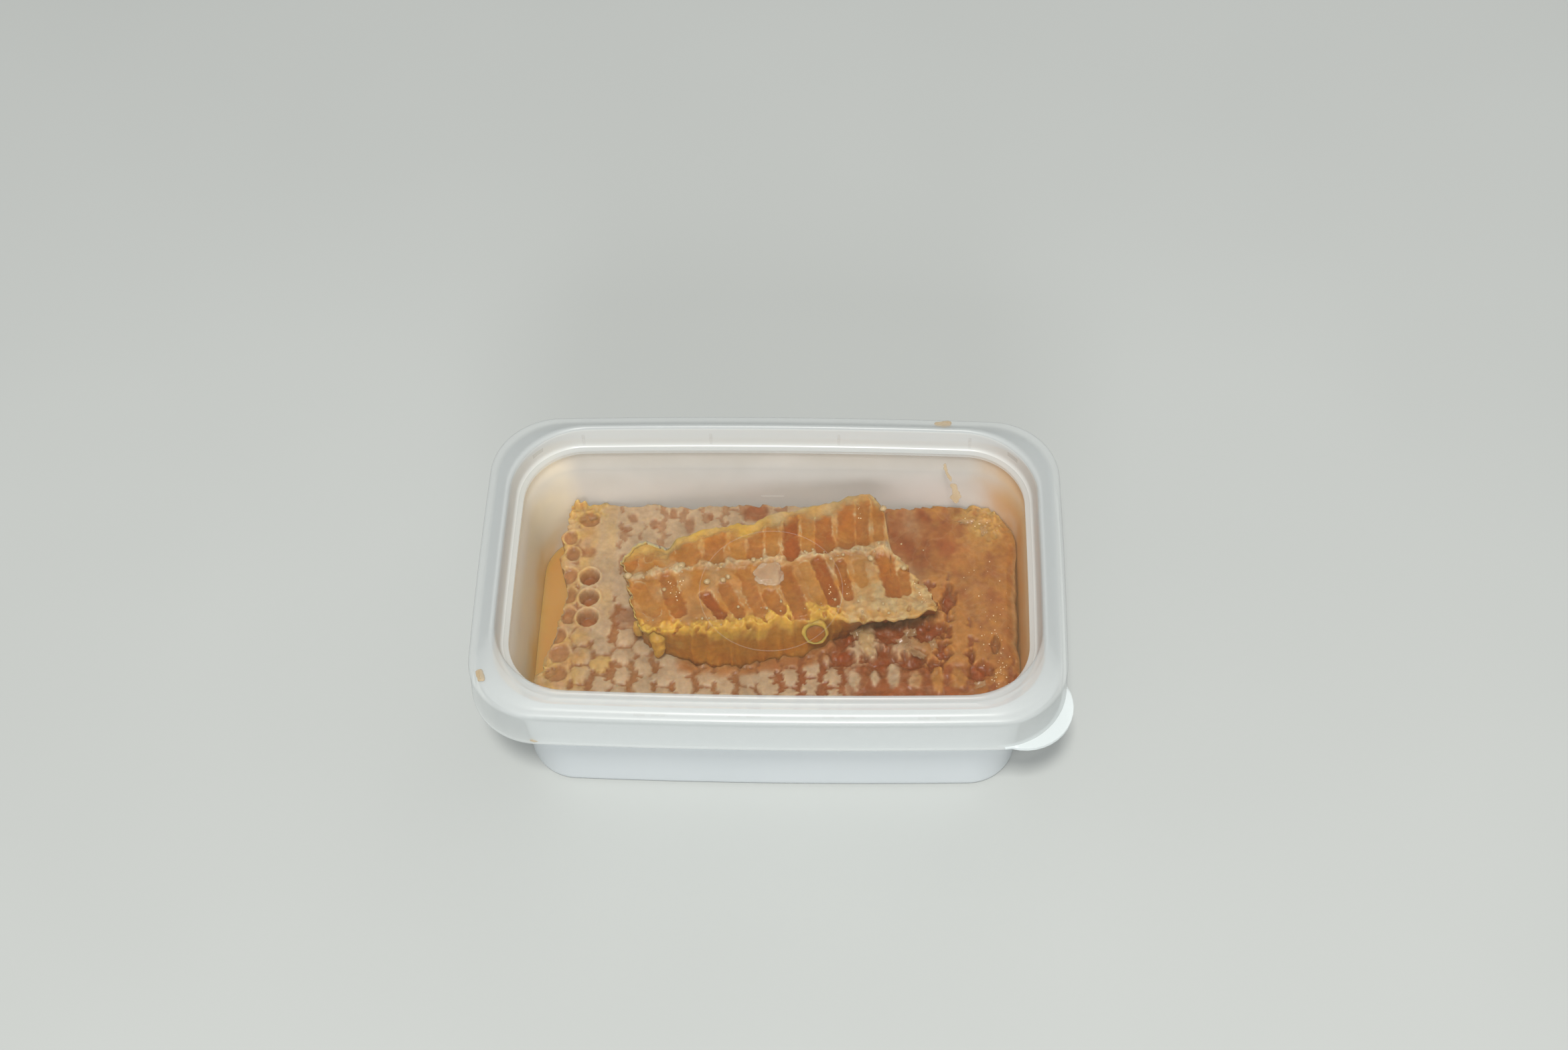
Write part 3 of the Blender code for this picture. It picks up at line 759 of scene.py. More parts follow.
# %% Regions of the slab
def slab_regions(x, y):
    """How strongly each region of the slab holds at a point, each from 0 to 1."""
    at = SimpleNamespace()
    at.front = smoothstep(-8.0, -14.0, y)
    at.toward_right = smoothstep(-20.0, 10.0, x)
    at.torn = patches(x, y, TORN_PITS)
    at.front_right = smoothstep(14.0, 22.0, x) * smoothstep(-12.0, -15.0, y)
    at.front_right *= 1.0 - 0.5 * smoothstep(44.0, 50.0, x)

    before_foot = between(WET_LINE, x) - y + 1.2 * rough_noise(x, y, 11.0, 4.0)
    at.wet_foot = smoothstep(3.2, 0.4, before_foot) * smoothstep(4.0, 0.0, y)
    at.wet_foot *= smoothstep(-24.0, -20.0, x) * smoothstep(18.0, 13.0, x)
    right_end = smoothstep(41.0, 46.0, x + 0.4 * (y - 8.0)) * smoothstep(-18.0, -10.0, y)
    right_end *= 1.0 - 0.6 * at.front_right
    beside_strip = smoothstep(25.0, 29.0, x) * smoothstep(9.0, 14.0, y)
    at.smeared = max(right_end, beside_strip, 0.5 * at.wet_foot)
    at.film = at.smeared * clamp(0.8 + 0.5 * rough_noise(x, y, 8.0, 6.0))

    at.column_skin = smoothstep(-44.4, -43.0, x) * smoothstep(-38.6, -40.0, x) * smoothstep(-7.9, -7.4, y)
    at.whole_caps = smoothstep(-49.0, -47.5, x) * smoothstep(-30.5, -32.5, x) * smoothstep(-3.5, -5.0, y)
    at.whole_caps *= 1.0 - at.column_skin
    at.left_side = smoothstep(-42.5, -45.5, x + 0.8 * rough_noise(x, y, 2.0, 4.0))
    at.marked = patches(x, y, DARK_MARKS)
    at.empty_cell = patch(x, y, *EMPTY_CELL)
    at.corner_wax = patch(x, y, *CORNER_WAX)
    at.dark_smear = patch(x, y, *DARK_SMEAR)
    at.crumbly = max(patch(x, y, *row) for row in CRUMBLY_CORNERS)
    return at


right_front = vars(slab_regions(48.0, -16.0))
print("regions at the right front:", {name: round(value, 2) for name, value in right_front.items() if value > 0.0})


# %% [markdown]
# Whether a corner between three cells has a slit, and how wide it is, is drawn from noise that
# is constant within a small box, so it stays the same all round that corner. What is left is
# the cap: 1 on whole wax and 0 where honey shows.

# %% Caps and slits
def cap_cover(x, y, cells, at):
    """How whole the cap is at a point: 0 in a slit, 1 on closed wax."""
    first, second, third = cells
    inside = (second[0] - first[0]) / 2.0
    corner_x = (first[1] + second[1] + third[1]) / 3.0
    corner_y = (first[2] + second[2] + third[2]) / 3.0
    chance = noise.cell(Vector((corner_x * 1.7, corner_y * 1.7, 4.0)))
    share = (0.03 + 0.46 * at.front + 0.34 * at.front * at.toward_right) * (1.0 - 0.75 * at.whole_caps)
    width = 0.0
    if chance < share:
        away = math.hypot(x - corner_x, 0.8 * (y - corner_y))
        reach = 0.75 + 0.6 * noise.cell(Vector((corner_x * 2.3, corner_y * 2.3, 7.0)))
        same_column = first[3] == second[3]
        width = max(0.0, reach - 0.16 * away * away) * (0.3 if same_column else 1.0)
    width *= 1.0 + 0.8 * at.front * at.toward_right
    width *= (1.0 - at.column_skin) * (1.0 - at.smeared) * (1.0 - 0.6 * at.left_side)
    width += 0.16 * at.whole_caps
    edge_noise = rough(x, y, (0.5, 6.0, 1.6), (0.3, 2.0, 0.8))
    cap = smoothstep(width - 0.35, width + 0.45, inside + edge_noise) if width > 0.05 else 1.0
    cap = max(cap, 0.42 * smoothstep(10.0, 14.0, y))
    cap *= (1.0 - 0.65 * at.marked) * (1.0 - 0.9 * at.empty_cell)
    cap = min(cap, 1.0 - max(at.torn, 0.96 * at.front_right))
    return max(cap, patches(x, y, NARROW_CAPS))


spots = [(x, -11.0) for x in range(-40, 40, 10)]
front_caps = [round(cap_cover(*spot, nearest_cells(*spot), slab_regions(*spot)), 2) for spot in spots]
print("caps along the front:", front_caps)


# %% [markdown]
# The surface then follows: caps stand a few tenths of a millimetre above the honey, torn
# places lie lower and are lumpy, open cells go deep, and broad gentle waves run over it all.

# %% Height and masks of the slab's top
SLAB_WAX_Z = 24.4
OPEN_CELL_DEPTH = 3.6
FILLED_CELL_DEPTH = 0.9


def sink_cell(height, wax, wall, sunk, rim_z, depth_mm, least_wax):
    """Put a round cell into the surface: a wall of wax round a hollow of the given depth."""
    height = height * (1.0 - wall) + (rim_z - depth_mm * sunk) * wall
    wax = wax * (1.0 - wall) + (1.0 - (1.0 - least_wax) * sunk) * wall
    return height, wax


def slab_surface(x, y):
    """Height of the slab's top and its masks: wax, warmth, yellow, depth of honey."""
    at = slab_regions(x, y)
    cells = nearest_cells(x, y)
    inside = (cells[1][0] - cells[0][0]) / 2.0
    cell_tone = noise.cell(Vector((cells[0][1] * 1.3, cells[0][2] * 1.3, 9.0)))
    cap = cap_cover(x, y, cells, at)

    # Domed caps stand above the honey, and torn places lie lower and are lumpy.
    relief = 0.1 + 0.35 * at.whole_caps + 0.12 * at.front
    rise = 0.5 - 0.35 * at.front_right
    height = SLAB_WAX_Z + 0.05 - rise + cap * (rise + relief * smoothstep(0.0, 2.2, inside) * (1.0 - at.film))
    height -= 1.3 * at.torn * (1.0 - cap)
    height += 0.9 * max(at.torn, 0.6 * at.front_right) * rough(x, y, (1.0, 3.0, 2.2), (0.4, 3.0, 0.9))

    # A film of honey hides much of the wax, but cell walls and pale blotches show through it.
    mottle = rough(x, y, (1.0, 3.0, 3.4), (0.5, 6.0, 1.4))
    ghost_walls = 0.3 * (1.0 - smoothstep(0.0, 0.8, inside))
    wax = cap * (1.0 - at.film * clamp(ghost_walls + 0.45 + 0.9 * mottle + 0.5 * at.dark_smear))
    wax = max(wax, 0.7 * at.corner_wax)
    depth = max(0.15 + 0.2 * cell_tone, at.toward_right * 0.75, at.torn, 0.5 * at.marked, 0.75 * at.empty_cell)
    depth = depth * (1.0 - at.film) + at.film * (0.15 + 0.5 * at.dark_smear + 0.4 * max(0.0, mottle))

    # Round cells: three open and empty ones, and others filled nearly to the brim.
    hole = round_hole(x, y, OPEN_CELLS)
    filled = round_hole(x, y, FILLED_CELLS) if x < -42.0 else -1.0
    if hole > -0.25:
        height, wax = sink_cell(height, wax, smoothstep(-0.25, -0.05, hole), smoothstep(0.06, 0.28, hole),
                                SLAB_WAX_Z + 0.45, OPEN_CELL_DEPTH, least_wax=0.0)
        depth = 0.55
    elif filled > -0.15:
        sunk = smoothstep(0.02, 0.3, filled + 0.1 * rough_noise(x, y, 1.0, 1.0))
        height, wax = sink_cell(height, wax, smoothstep(-0.15, 0.0, filled), sunk,
                                SLAB_WAX_Z + 0.2, FILLED_CELL_DEPTH, least_wax=0.2)
        depth = 0.15 + 0.2 * cell_tone

    # Unevenness: crumbly corners, a peak of wax at the left back, and broad gentle waves.
    height += (0.14 + 0.6 * at.crumbly + 0.15 * at.left_side) * rough_noise(x, y, 7.0, 1.5)
    height += 0.5 * at.crumbly * rough_noise(x, y, 4.0, 0.8) + 2.2 * patch(x, y, *LEFT_PEAK)
    height += rough(x, y, (0.05, 2.0, 0.9), (0.6, 0.0, 24.0), (0.25, 8.0, 5.0))

    wax *= 1.0 - 0.55 * at.wet_foot
    warmth = max(smoothstep(26.0, 40.0, x) * 0.95, at.film, 0.06, 0.9 * at.wet_foot,
                 0.55 * at.left_side * (0.6 + rough_noise(x, y, 4.0, 4.0)))
    yellow = max(0.85 * at.crumbly, 0.3 * at.corner_wax, 0.45 * patch(x, y, *YELLOW_CAP),
                 0.75 * at.left_side * (0.5 + rough_noise(x, y, 9.0, 3.0)),
                 0.5 * at.column_skin * (0.5 + rough_noise(x, y, 2.0, 6.0)),
                 0.8 * at.whole_caps * (cell_tone > 0.6))
    return height, wax, clamp(warmth), clamp(yellow), min(1.0, depth)


print("cap height at the middle:", round(slab_surface(-0.5, 1.3)[0], 2))

# %% [markdown]
# The sheet starts as a plain grid and is bent to the slab's outline: cut at the left with a
# ragged edge, spread to the wall at the front, and held by the tub's wall elsewhere. The edge
# of the sheet is then extruded down in steps to make the cut sides, and one face closes it.
# Comb is soft and gives way to the tub, so every point that would be in the wall is moved to it.

# %% Room inside the tub
WALL_AND_GAP = 1.0


def wall_reach(across, half_side, half_other, bow_radius, corner):
    """How far the room inside the tub reaches at a distance across it."""
    past = abs(across) - (half_other - corner)
    reach = half_side - across * across / (2.0 * bow_radius)
    if past > 0.0:
        reach -= corner - math.sqrt(max(0.0, corner ** 2 - past ** 2))
    return reach


def wall_reach_x(y, z=SLAB_WAX_Z):
    """Half length of the room inside the tub at one height."""
    lean = BODY_DRAFT * z - WALL_AND_GAP
    return wall_reach(y, BODY_HALF_LENGTH + lean, BODY_HALF_WIDTH + lean, SHORT_SIDE_RADIUS, BODY_CORNER + lean)


def wall_reach_y(x, z=SLAB_WAX_Z):
    """Half width of the room inside the tub at one height."""
    lean = BODY_DRAFT * z - WALL_AND_GAP
    return wall_reach(x, BODY_HALF_WIDTH + lean, BODY_HALF_LENGTH + lean, LONG_SIDE_RADIUS, BODY_CORNER + lean)


def inside_wall(x, y, z):
    """Move a point that is past the tub's inner wall back inside it."""
    reach_x = wall_reach_x(y, z)
    x = min(reach_x, max(-reach_x, x))
    reach_y = wall_reach_y(x, z)
    return x, min(reach_y, max(-reach_y, y)), z


print("room in the tub in mm:", round(2.0 * wall_reach_x(0.0), 1), "by", round(2.0 * wall_reach_y(0.0), 1))


# %% Outline of the slab
SLAB_LEFT = [(-33.5, -58.0), (-19.0, -55.8), (-10.0, -53.6), (-5.0, -51.3), (7.0, -50.4), (15.0, -52.1),
             (23.0, -52.4), (33.5, -50.6)]
SLAB_RIGHT = [(-33.5, 58.6), (-13.0, 58.3), (-7.0, 57.3), (8.0, 57.0), (14.6, 57.0), (19.0, 58.8), (22.0, 58.6),
              (27.0, 56.6), (33.5, 53.0)]
SLAB_HALF_WIDTH = 33.2
SLAB_BOTTOM_Z = 3.3


def slab_left(y):
    """Left edge of the slab's top."""
    return max(between(SLAB_LEFT, y) + rough(0.0, y, (1.0, 1.0, 3.5), (0.7, 4.0, 1.2)), -wall_reach_x(y))


def slab_right(y):
    """Right edge of the slab's top."""
    return min(between(SLAB_RIGHT, y) + rough(50.0, y, (0.9, 1.0, 4.0), (0.2, 5.0, 1.0)), wall_reach_x(y))


def slab_place(u, v):
    """Point of the slab's top for a share u from left to right and v from -1 in front to 1."""
    near_edge = abs(v) ** 7
    ragged = rough(u * 110.0, v, (1.3, 2.0, 4.0), (0.6, 2.0, 1.3)) * near_edge
    y = v * SLAB_HALF_WIDTH + (ragged - 1.0 if v > 0.0 else -ragged * 0.3 + 0.3) * near_edge
    return slab_left(y) * (1.0 - u) + slab_right(y) * u, y


print("slab reaches in mm:", round(slab_left(0.0), 1), round(slab_right(0.0), 1))

# %% Slab of capped comb
SLAB_SIDE_STEPS = ((0.8, 0.0), (2.5, 0.2), (6.0, 0.5), (13.0, 0.9), (21.0, 1.4))


def start_sheet(steps_x, steps_y):
    """A flat grid with the four comb masks on its vertices."""
    bm = bmesh.new()
    layer = bm.verts.layers.float_color.new("comb")
    bmesh.ops.create_grid(bm, x_segments=steps_x, y_segments=steps_y, size=1.0)
    return bm, layer


def drop_edge(bm):
    """Extrude the open edge of a sheet and return the new vertices."""
    grown = bmesh.ops.extrude_edge_only(bm, edges=[edge for edge in bm.edges if edge.is_boundary])
    return [part for part in grown["geom"] if isinstance(part, bmesh.types.BMVert)]


def close_sheet(bm):
    """Close the open edge of a sheet with one face, and turn all faces outwards."""
    bmesh.ops.contextual_create(bm, geom=[edge for edge in bm.edges if edge.is_boundary])
    bmesh.ops.recalc_face_normals(bm, faces=bm.faces)


slab, layer = start_sheet(290, 172)
for vert in slab.verts:
    u, v = 0.5 * (vert.co.x + 1.0), vert.co.y
    x, y = slab_place(u, v)
    height, *comb = slab_surface(x, y)
    rim = min(u, 1.0 - u, 0.6 * (1.0 - abs(v))) * 110.0
    height -= 0.55 * (1.0 - smoothstep(0.0, 1.2, rim))
    vert.co = inside_wall(x, y, height)
    vert[layer] = comb
for drop, lean in SLAB_SIDE_STEPS:
    for vert in drop_edge(slab):
        x, y, _ = vert.co
        ripple = 0.5 * rough_noise(x, y, drop, 2.2)
        shrink = 1.0 - (lean * 0.4 - ripple * 0.25) / math.hypot(x, y)
        spread = (0.9 if drop < 3.0 else 0.4) * smoothstep(50.0, 56.0, x)
        z = SLAB_WAX_Z - drop if drop < 20.0 else SLAB_BOTTOM_Z
        vert.co = inside_wall(x * shrink + spread, y * shrink, z)
        vert[layer] = (0.75 + 0.3 * ripple, 0.5, 0.35, 0.2)
close_sheet(slab)
finish_piece("comb_slab_capped", slab, [capped_comb], "comb_slab")

# %% [markdown]
# ## The upper strip of comb
#
# This piece was cut from the side of a comb and laid on its flat, so its cells lie open like
# gutters on both sides of the midrib that they were built on. Each gutter is a trough with
# round ends that holds amber honey, and a soft wall of wax stands between it and the next.
# No two are alike, so a table lists them: the two ends of the trough, half its width, and how
# dark its honey is. The rest of the top is another bent grid like the slab's.

# %% Outline and gutters of the strip
MIDRIB = [(-36.0, 3.2), (-24.0, 5.6), (-12.0, 6.8), (0.0, 8.6), (14.0, 10.6), (34.0, 13.4)]
BACK_EDGE = [(-37.0, 10.8), (-31.0, 13.6), (-25.2, 12.4), (-23.8, 15.2), (-9.0, 19.4), (-6.5, 18.6),
             (-3.0, 20.8), (4.0, 23.4), (16.0, 26.6), (18.0, 28.4), (23.0, 28.9), (26.5, 26.0), (28.2, 15.0),
             (34.0, 13.8), (40.0, 12.0)]
FRONT_EDGE = [(-37.0, -3.0), (-34.0, -8.0), (-32.3, -10.2), (-28.9, -12.6), (-23.9, -12.3), (-15.7, -12.5),
              (-9.4, -12.0), (-3.2, -10.4), (3.0, -8.5), (13.7, -7.3), (17.5, -9.0), (28.0, -9.0), (34.0, -7.8),
              (40.0, -5.5)]
LEFT_END = [(-1.0, -30.5), (-0.6, -33.2), (0.2, -35.5), (0.7, -36.6), (1.0, -34.0)]
RIGHT_END = [(-1.0, 38.4), (-0.7, 38.8), (-0.4, 37.2), (0.1, 33.8), (0.5, 30.5), (1.0, 24.0)]
GUTTERS = [
    (-34.4, 13.0, -34.2, 6.2, 1.7, 0.4), (-29.8, 13.4, -29.6, 8.4, 1.2, 0.25), (-20.9, 17.0, -20.2, 8.4, 3.0, 0.35),
    (-14.4, 20.0, -14.0, 8.8, 2.7, 0.42), (-8.9, 19.0, -8.5, 9.2, 1.9, 0.1), (-4.5, 22.0, -4.2, 9.0, 2.1, 0.5),
    (-0.7, 23.0, -0.3, 10.0, 1.6, 0.2), (3.8, 22.5, 4.5, 9.4, 2.0, 0.95), (8.0, 25.0, 8.4, 11.2, 1.7, 0.25),
    (12.0, 27.0, 12.1, 11.6, 2.2, 0.75), (17.0, 28.0, 17.6, 12.6, 2.2, 0.6), (21.3, 29.0, 21.4, 13.4, 1.8, 0.55),
    (25.0, 26.0, 25.2, 14.4, 1.4, 0.35),
    (-31.6, -0.4, -28.0, -6.6, 2.0, 0.25), (-24.9, 1.8, -21.6, -7.4, 2.1, 0.6), (-15.6, -2.8, -11.4, -8.2, 1.5, 1.0),
    (-11.2, -0.4, -7.3, -7.6, 1.7, 0.55), (-6.8, 4.0, -2.6, -6.6, 1.9, 0.42), (-0.8, -2.2, 2.3, -6.2, 1.9, 0.6),
    (3.2, 4.2, 6.8, -7.0, 2.1, 0.6), (7.8, 6.0, 11.8, -3.6, 1.6, 0.05), (10.8, 7.4, 14.9, -3.2, 1.9, 0.9),
    (16.0, 7.2, 18.1, -2.2, 1.4, 0.7), (20.5, 7.2, 21.6, 1.8, 1.6, 0.05), (26.8, 7.8, 28.9, -0.6, 2.3, 0.7),
    (31.0, 4.6, 31.8, -0.6, 1.6, 0.55),
]


def nearest_gutter(x, y):
    """Depth of a point inside the nearest gutter, as a share of its half width, and its tone."""
    best = (-9.0, 0.0)
    for x0, y0, x1, y1, half_width, tone in GUTTERS:
        if not min(x0, x1) - 4.0 < x < max(x0, x1) + 4.0:
            continue
        run = Vector((x1 - x0, y1 - y0))
        offset = Vector((x - x0, y - y0))
        away = (offset - run * clamp(offset.dot(run) / run.length_squared)).length
        away *= 1.0 + rough(x, y, (0.35, 2.0, 2.6), (0.2, 2.0, 1.0))
        best = max(best, (1.0 - away / half_width, tone))
    return best


def ragged_front(x):
    """How far the front rim stands out from its smooth line."""
    return rough_noise(x, 0.0, 0.0, 3.2) + 0.5 * rough_noise(x, 3.0, 0.0, 1.2)


def strip_place(u, v):
    """Point of the strip's top for a share u from left to right and v from -1 in front to 1."""
    x = between(LEFT_END, v) * (1.0 - u) + between(RIGHT_END, v) * u
    x += rough(v * 20.0, u, (1.3, 0.0, 3.0), (0.5, 0.0, 1.0)) * (2.0 * u - 1.0) ** 9
    front = between(FRONT_EDGE, x) + ragged_front(x)
    back = between(BACK_EDGE, x) + 0.9 * rough_noise(x, 5.0, 0.0, 3.6) + 0.35 * rough_noise(x, 7.0, 0.0, 1.1)
    return x, front + (back - front) * 0.5 * (v + 1.0)


print("gutter under the middle:", [round(v, 2) for v in nearest_gutter(4.0, 0.0)])

# %% [markdown]
# The wax is not even either. The midrib is a low ridge of crumbly pale wax, the right end is
# smeared with it, the front rim is thick, crumbly and bright yellow with a few pits, and the
# back rim slopes down and is yellow at the left. Pale threads of wax follow the gutters' lips.

# %% Height and masks of the strip's top
STRIP_TOP_Z = 36.5


def strip_surface(x, y):
    """Height of the strip's top and its masks: wax, warmth, yellow, depth of honey."""
    side = y - between(MIDRIB, x)
    back = between(BACK_EDGE, x) - y
    front = y - between(FRONT_EDGE, x)
    behind = side > 0.5
    less_right = smoothstep(14.0, 22.0, x)

    # Gutters: a darker one is deeper, and all run out shallow towards the back edge.
    level, tone = nearest_gutter(x, y)
    sunk = smoothstep(-0.02, 0.3, level)
    trough = (0.25 + 0.8 * tone ** 2) * math.sqrt(max(0.0, 1.0 - (1.0 - clamp(level)) ** 2))
    trough *= smoothstep(0.5, 5.0, back)

    # Wax: midrib, smeared right end, front and back rims, pits in the front rim, and threads.
    rib = 1.0 - smoothstep(0.5, 1.6, abs(side + 0.5) + 1.2 * rough_noise(x, y, 3.0, 2.0))
    rib *= 1.0 - sunk
    end_wax = smoothstep(20.0, 31.0, x - 0.5 * side) * (0.35 if behind else 1.0) * (1.0 - 0.9 * sunk)
    end_wax *= 0.85 + 0.5 * rough_noise(x, y, 8.0, 2.0)
    front_rim = 1.0 - smoothstep(2.4, 4.6, front + 1.6 * rough_noise(x, y, 5.0, 2.6) + 1.2 * smoothstep(-6.0, -24.0, x))
    front_rim *= (1.0 - 0.85 * sunk) * (1.0 - 0.2 * less_right)
    back_rim = 1.0 - smoothstep(1.5, 6.5, back + rough(x, y, (2.4, 5.0, 4.0), (0.8, 5.0, 1.3)))
    back_rim = back_rim if behind else 0.0
    pit = front_rim * smoothstep(0.28, 0.42, rough_noise(x, y, 12.0, 2.3))
    crumbs = max(front_rim * (1.0 - 0.4 * less_right), 0.45 * end_wax, 0.8 * rib)
    thread = 1.0 - smoothstep(0.0, 0.14, abs(level + 0.05))
    thread *= smoothstep(0.0, 0.35, rough_noise(x, y, 15.0, 3.0))

    height = STRIP_TOP_Z - trough + 0.45 * rib - 1.2 * back_rim ** 2 - 0.8 * pit
    height += crumbs * rough(x, y, (0.9, 1.0, 1.6), (0.5, 4.0, 0.75))
    height += rough(x, y, (0.12, 9.0, 0.8), (0.5, 6.0, 14.0), (0.3, 3.0, 3.2))
    height -= 0.05 * max(0.0, -20.0 - x) ** 1.3

    between_gutters = 0.72 + 0.6 * rough_noise(x, y, 9.0, 2.6) - 0.25 * smoothstep(-12.0, -24.0, x)
    rib_wax = 0.95 * rib * (0.85 + 0.6 * rough_noise(x, y, 8.0, 1.5))
    wax = max((1.0 - sunk) * between_gutters, end_wax, front_rim, back_rim, rib_wax, 0.3 * (1.0 - tone) * sunk)
    wax = max(wax * (1.0 - 0.8 * pit), 0.8 * thread)
    warmth = 0.75 + 0.5 * rough_noise(x, y, 7.0, 4.0) - 0.65 * max(end_wax, rib, 0.8 * back_rim, thread)
    back_yellow = 0.4 + 0.4 * smoothstep(4.0, -4.0, x) + 0.5 * rough_noise(x, y, 2.0, 5.0)
    yellow = max(front_rim * (1.0 - 0.75 * end_wax), back_yellow * back_rim, 0.25 * end_wax)
    depth = (tone if sunk > 0.0 else 0.2) + 0.3 * rough_noise(x, y, 2.0, 3.0)
    return height, clamp(wax), clamp(warmth), clamp(yellow), clamp(depth)


print("strip height at the middle:", round(strip_surface(0.0, 4.0)[0], 2))

# %% [markdown]
# The strip's sides go down in nine steps and end a millimetre deep in the slab, because soft comb settles. In front the
# side slopes, as `FRONT_SLOPE` says from left to right: the middle leans out to a wide foot, and the right end is
# undercut. At the back and the left, where the side is hidden, it leans in a little. The side is honey-wet and amber
# below, and crumbly yellow wax near the rim. Over most of the side a share of pale yellow wax is mixed in as painted
# light, because the steep side gets little of the lamp and would look too dark.

# %% Strip of cut comb
STRIP_BOTTOM_Z = 23.4
SIDE_LEVELS = (35.0, 33.6, 32.2, 30.8, 29.4, 28.0, 26.6, 25.2, STRIP_BOTTOM_Z)
STRIP_MIDDLE = Vector((0.0, 6.0))
FRONT_SLOPE = [(-40.0, -4.0), (-28.5, -4.0), (-24.0, -1.5), (-19.0, 0.6), (-10.0, 1.6), (-3.0, 2.0), (6.0, 2.8),
               (12.4, 1.4), (17.0, -2.6), (22.0, -7.0), (30.0, -9.0), (40.0, -8.0)]


def strip_side(x, y, z):
    """Where a point of the strip's side goes at the next level down, and its masks there."""
    out = (Vector((x, y)) - STRIP_MIDDLE).normalized()
    hidden = min(1.0, smoothstep(8.0, 12.0, y) + smoothstep(-31.0, -34.0, x))
    swell = rough(x, y, (0.35, 2.4 * z, 3.0), (0.25, 5.0 * z, 1.3)) + (0.1 if z > 29.0 else -0.1) - 0.35 * hidden
    foot = 0.35 * smoothstep(28.5, 25.5, z) * smoothstep(14.0, 8.0, x) * (1.0 + 0.4 * rough_noise(x, y, 2.0, 6.0))
    step = (between(FRONT_SLOPE, x) + ragged_front(x)) / len(SIDE_LEVELS) + foot
    place = (x + out.x * swell, y + out.y * swell - smoothstep(4.0, -4.0, y) * step,
             z + 0.3 * rough_noise(x, y, z, 3.0))

    # Crumbly yellow wax above, wet honey below, and no yellow at the pale right end.
    pale_end = smoothstep(14.0, 22.0, x)
    crumbs = smoothstep(31.4, 34.8, z + 5.0 * rough_noise(1.2 * x, y, 0.8 * z, 3.4) - 0.5 * pale_end)
    # Painted light: a floor of pale wax here, and of yellow in the next line, lightens the steep side, which is in
    # shade.
    wax = max(crumbs * (1.0 - 0.6 * pale_end), 0.5 * (1.0 - pale_end) * (0.6 + rough_noise(x, y, z, 5.0)))
    yellow = max(0.25, crumbs) * (1.0 - 0.6 * pale_end) * (1.0 - 0.6 * hidden)
    depth = 0.1 + 0.38 * smoothstep(30.0, 25.5, z) + 0.4 * rough_noise(x, y, z, 4.0) + 0.8 * pale_end
    return place, (clamp(wax), 1.0 - 0.5 * crumbs, yellow, min(1.0, depth))


strip, layer = start_sheet(240, 130)
for vert in strip.verts:
    u, v = 0.5 * (vert.co.x + 1.0), vert.co.y
    x, y = strip_place(u, v)
    height, *comb = strip_surface(x, y)
    rim = min(u, 1.0 - u, 0.6 * (1.0 - abs(v))) * 70.0
    vert.co = (x, y, height - 0.6 * (1.0 - smoothstep(0.0, 1.1, rim)))
    vert[layer] = comb
for z in SIDE_LEVELS:
    for vert in drop_edge(strip):
        vert.co, vert[layer] = strip_side(vert.co.x, vert.co.y, z)
close_sheet(strip)
finish_piece("comb_strip_cut", strip, [cut_comb], "comb_top")

# %% [markdown]
# ## Drips
#
# Wax that has run over the strip's front rim hangs there as two short drips. Each is a sphere
# drawn out along a short path: the sphere's own height chooses the place on the path, and its
# width there follows a list of radii. The same helper makes the flat smears on the lid later.

# %% Drawn-out lumps
def along_path(path, share):
    """Point on a path of equal steps, for a share from 0 to 1."""
    place = share * (len(path) - 1)
    step = min(int(place), len(path) - 2)
    return path[step].lerp(path[step + 1], place - step)


def add_lump(bm, path, radii, squash, uneven, segments=14):
    """A closed lump along a path, with a radius at each of its points."""
    path = [Vector(point) for point in path]
    made = bmesh.ops.create_uvsphere(bm, u_segments=segments, v_segments=segments, radius=1.0)
    run = (path[-1] - path[0]).normalized()
    turn = run.to_track_quat("Z", "Y")
    coarse = 2.5 * max(radii)
    fine = 0.9 * max(radii)
    for vert in made["verts"]:
        x, y, z = vert.co
        share = 0.5 * (z + 1.0)
        radius = between(list(enumerate(radii)), share * (len(radii) - 1))
        fuller = math.sqrt(max(0.0, 1.0 - z ** 6)) / max(0.001, math.hypot(x, y))
        width = turn @ Vector((x * fuller, y * fuller, 0.0))
        offset = (width * radius + run * (z * radius * abs(z) ** 3)) * Vector(squash)
        place = along_path(path, share) + offset
        offset *= 1.0 + uneven * (rough_noise(*place, fine) + rough_noise(*place, coarse))
        vert.co = along_path(path, share) + offset
    return made["verts"]


def mark(bm, verts, masks):
    """Give some vertices one set of comb masks: wax, warmth, yellow, depth of honey."""
    layer = bm.verts.layers.float_color["comb"]
    for vert in verts:
        vert[layer] = masks


drips = bmesh.new()
drips.verts.layers.float_color.new("comb")
for path, radii, squash, uneven, segments, masks in (
        ([(-27.0, -10.4, 33.6), (-26.9, -12.0, 31.8), (-26.6, -13.0, 29.6), (-26.4, -13.4, 27.6)],
         [1.5, 1.9, 1.9, 1.5], (1.0, 0.6, 1.0), 0.45, 28, (0.85, 0.35, 0.9, 0.2)),
        ([(-31.4, -8.8, 33.2), (-31.4, -9.8, 31.0)], [1.2, 1.1], (1.0, 0.7, 1.0), 0.3, 20, (0.85, 0.4, 0.7, 0.2))):
    mark(drips, add_lump(drips, path, radii, squash, uneven, segments), masks)
finish_piece("comb_drips", drips, [cut_comb])

# %% [markdown]
# One cell in the front face of the strip was cut across and shows as an open ring of bright
# yellow wax. Its rim is a thin circle spun round the cell's axis, made uneven as torn wax is,
# and a flat bowl of honey closes it behind.

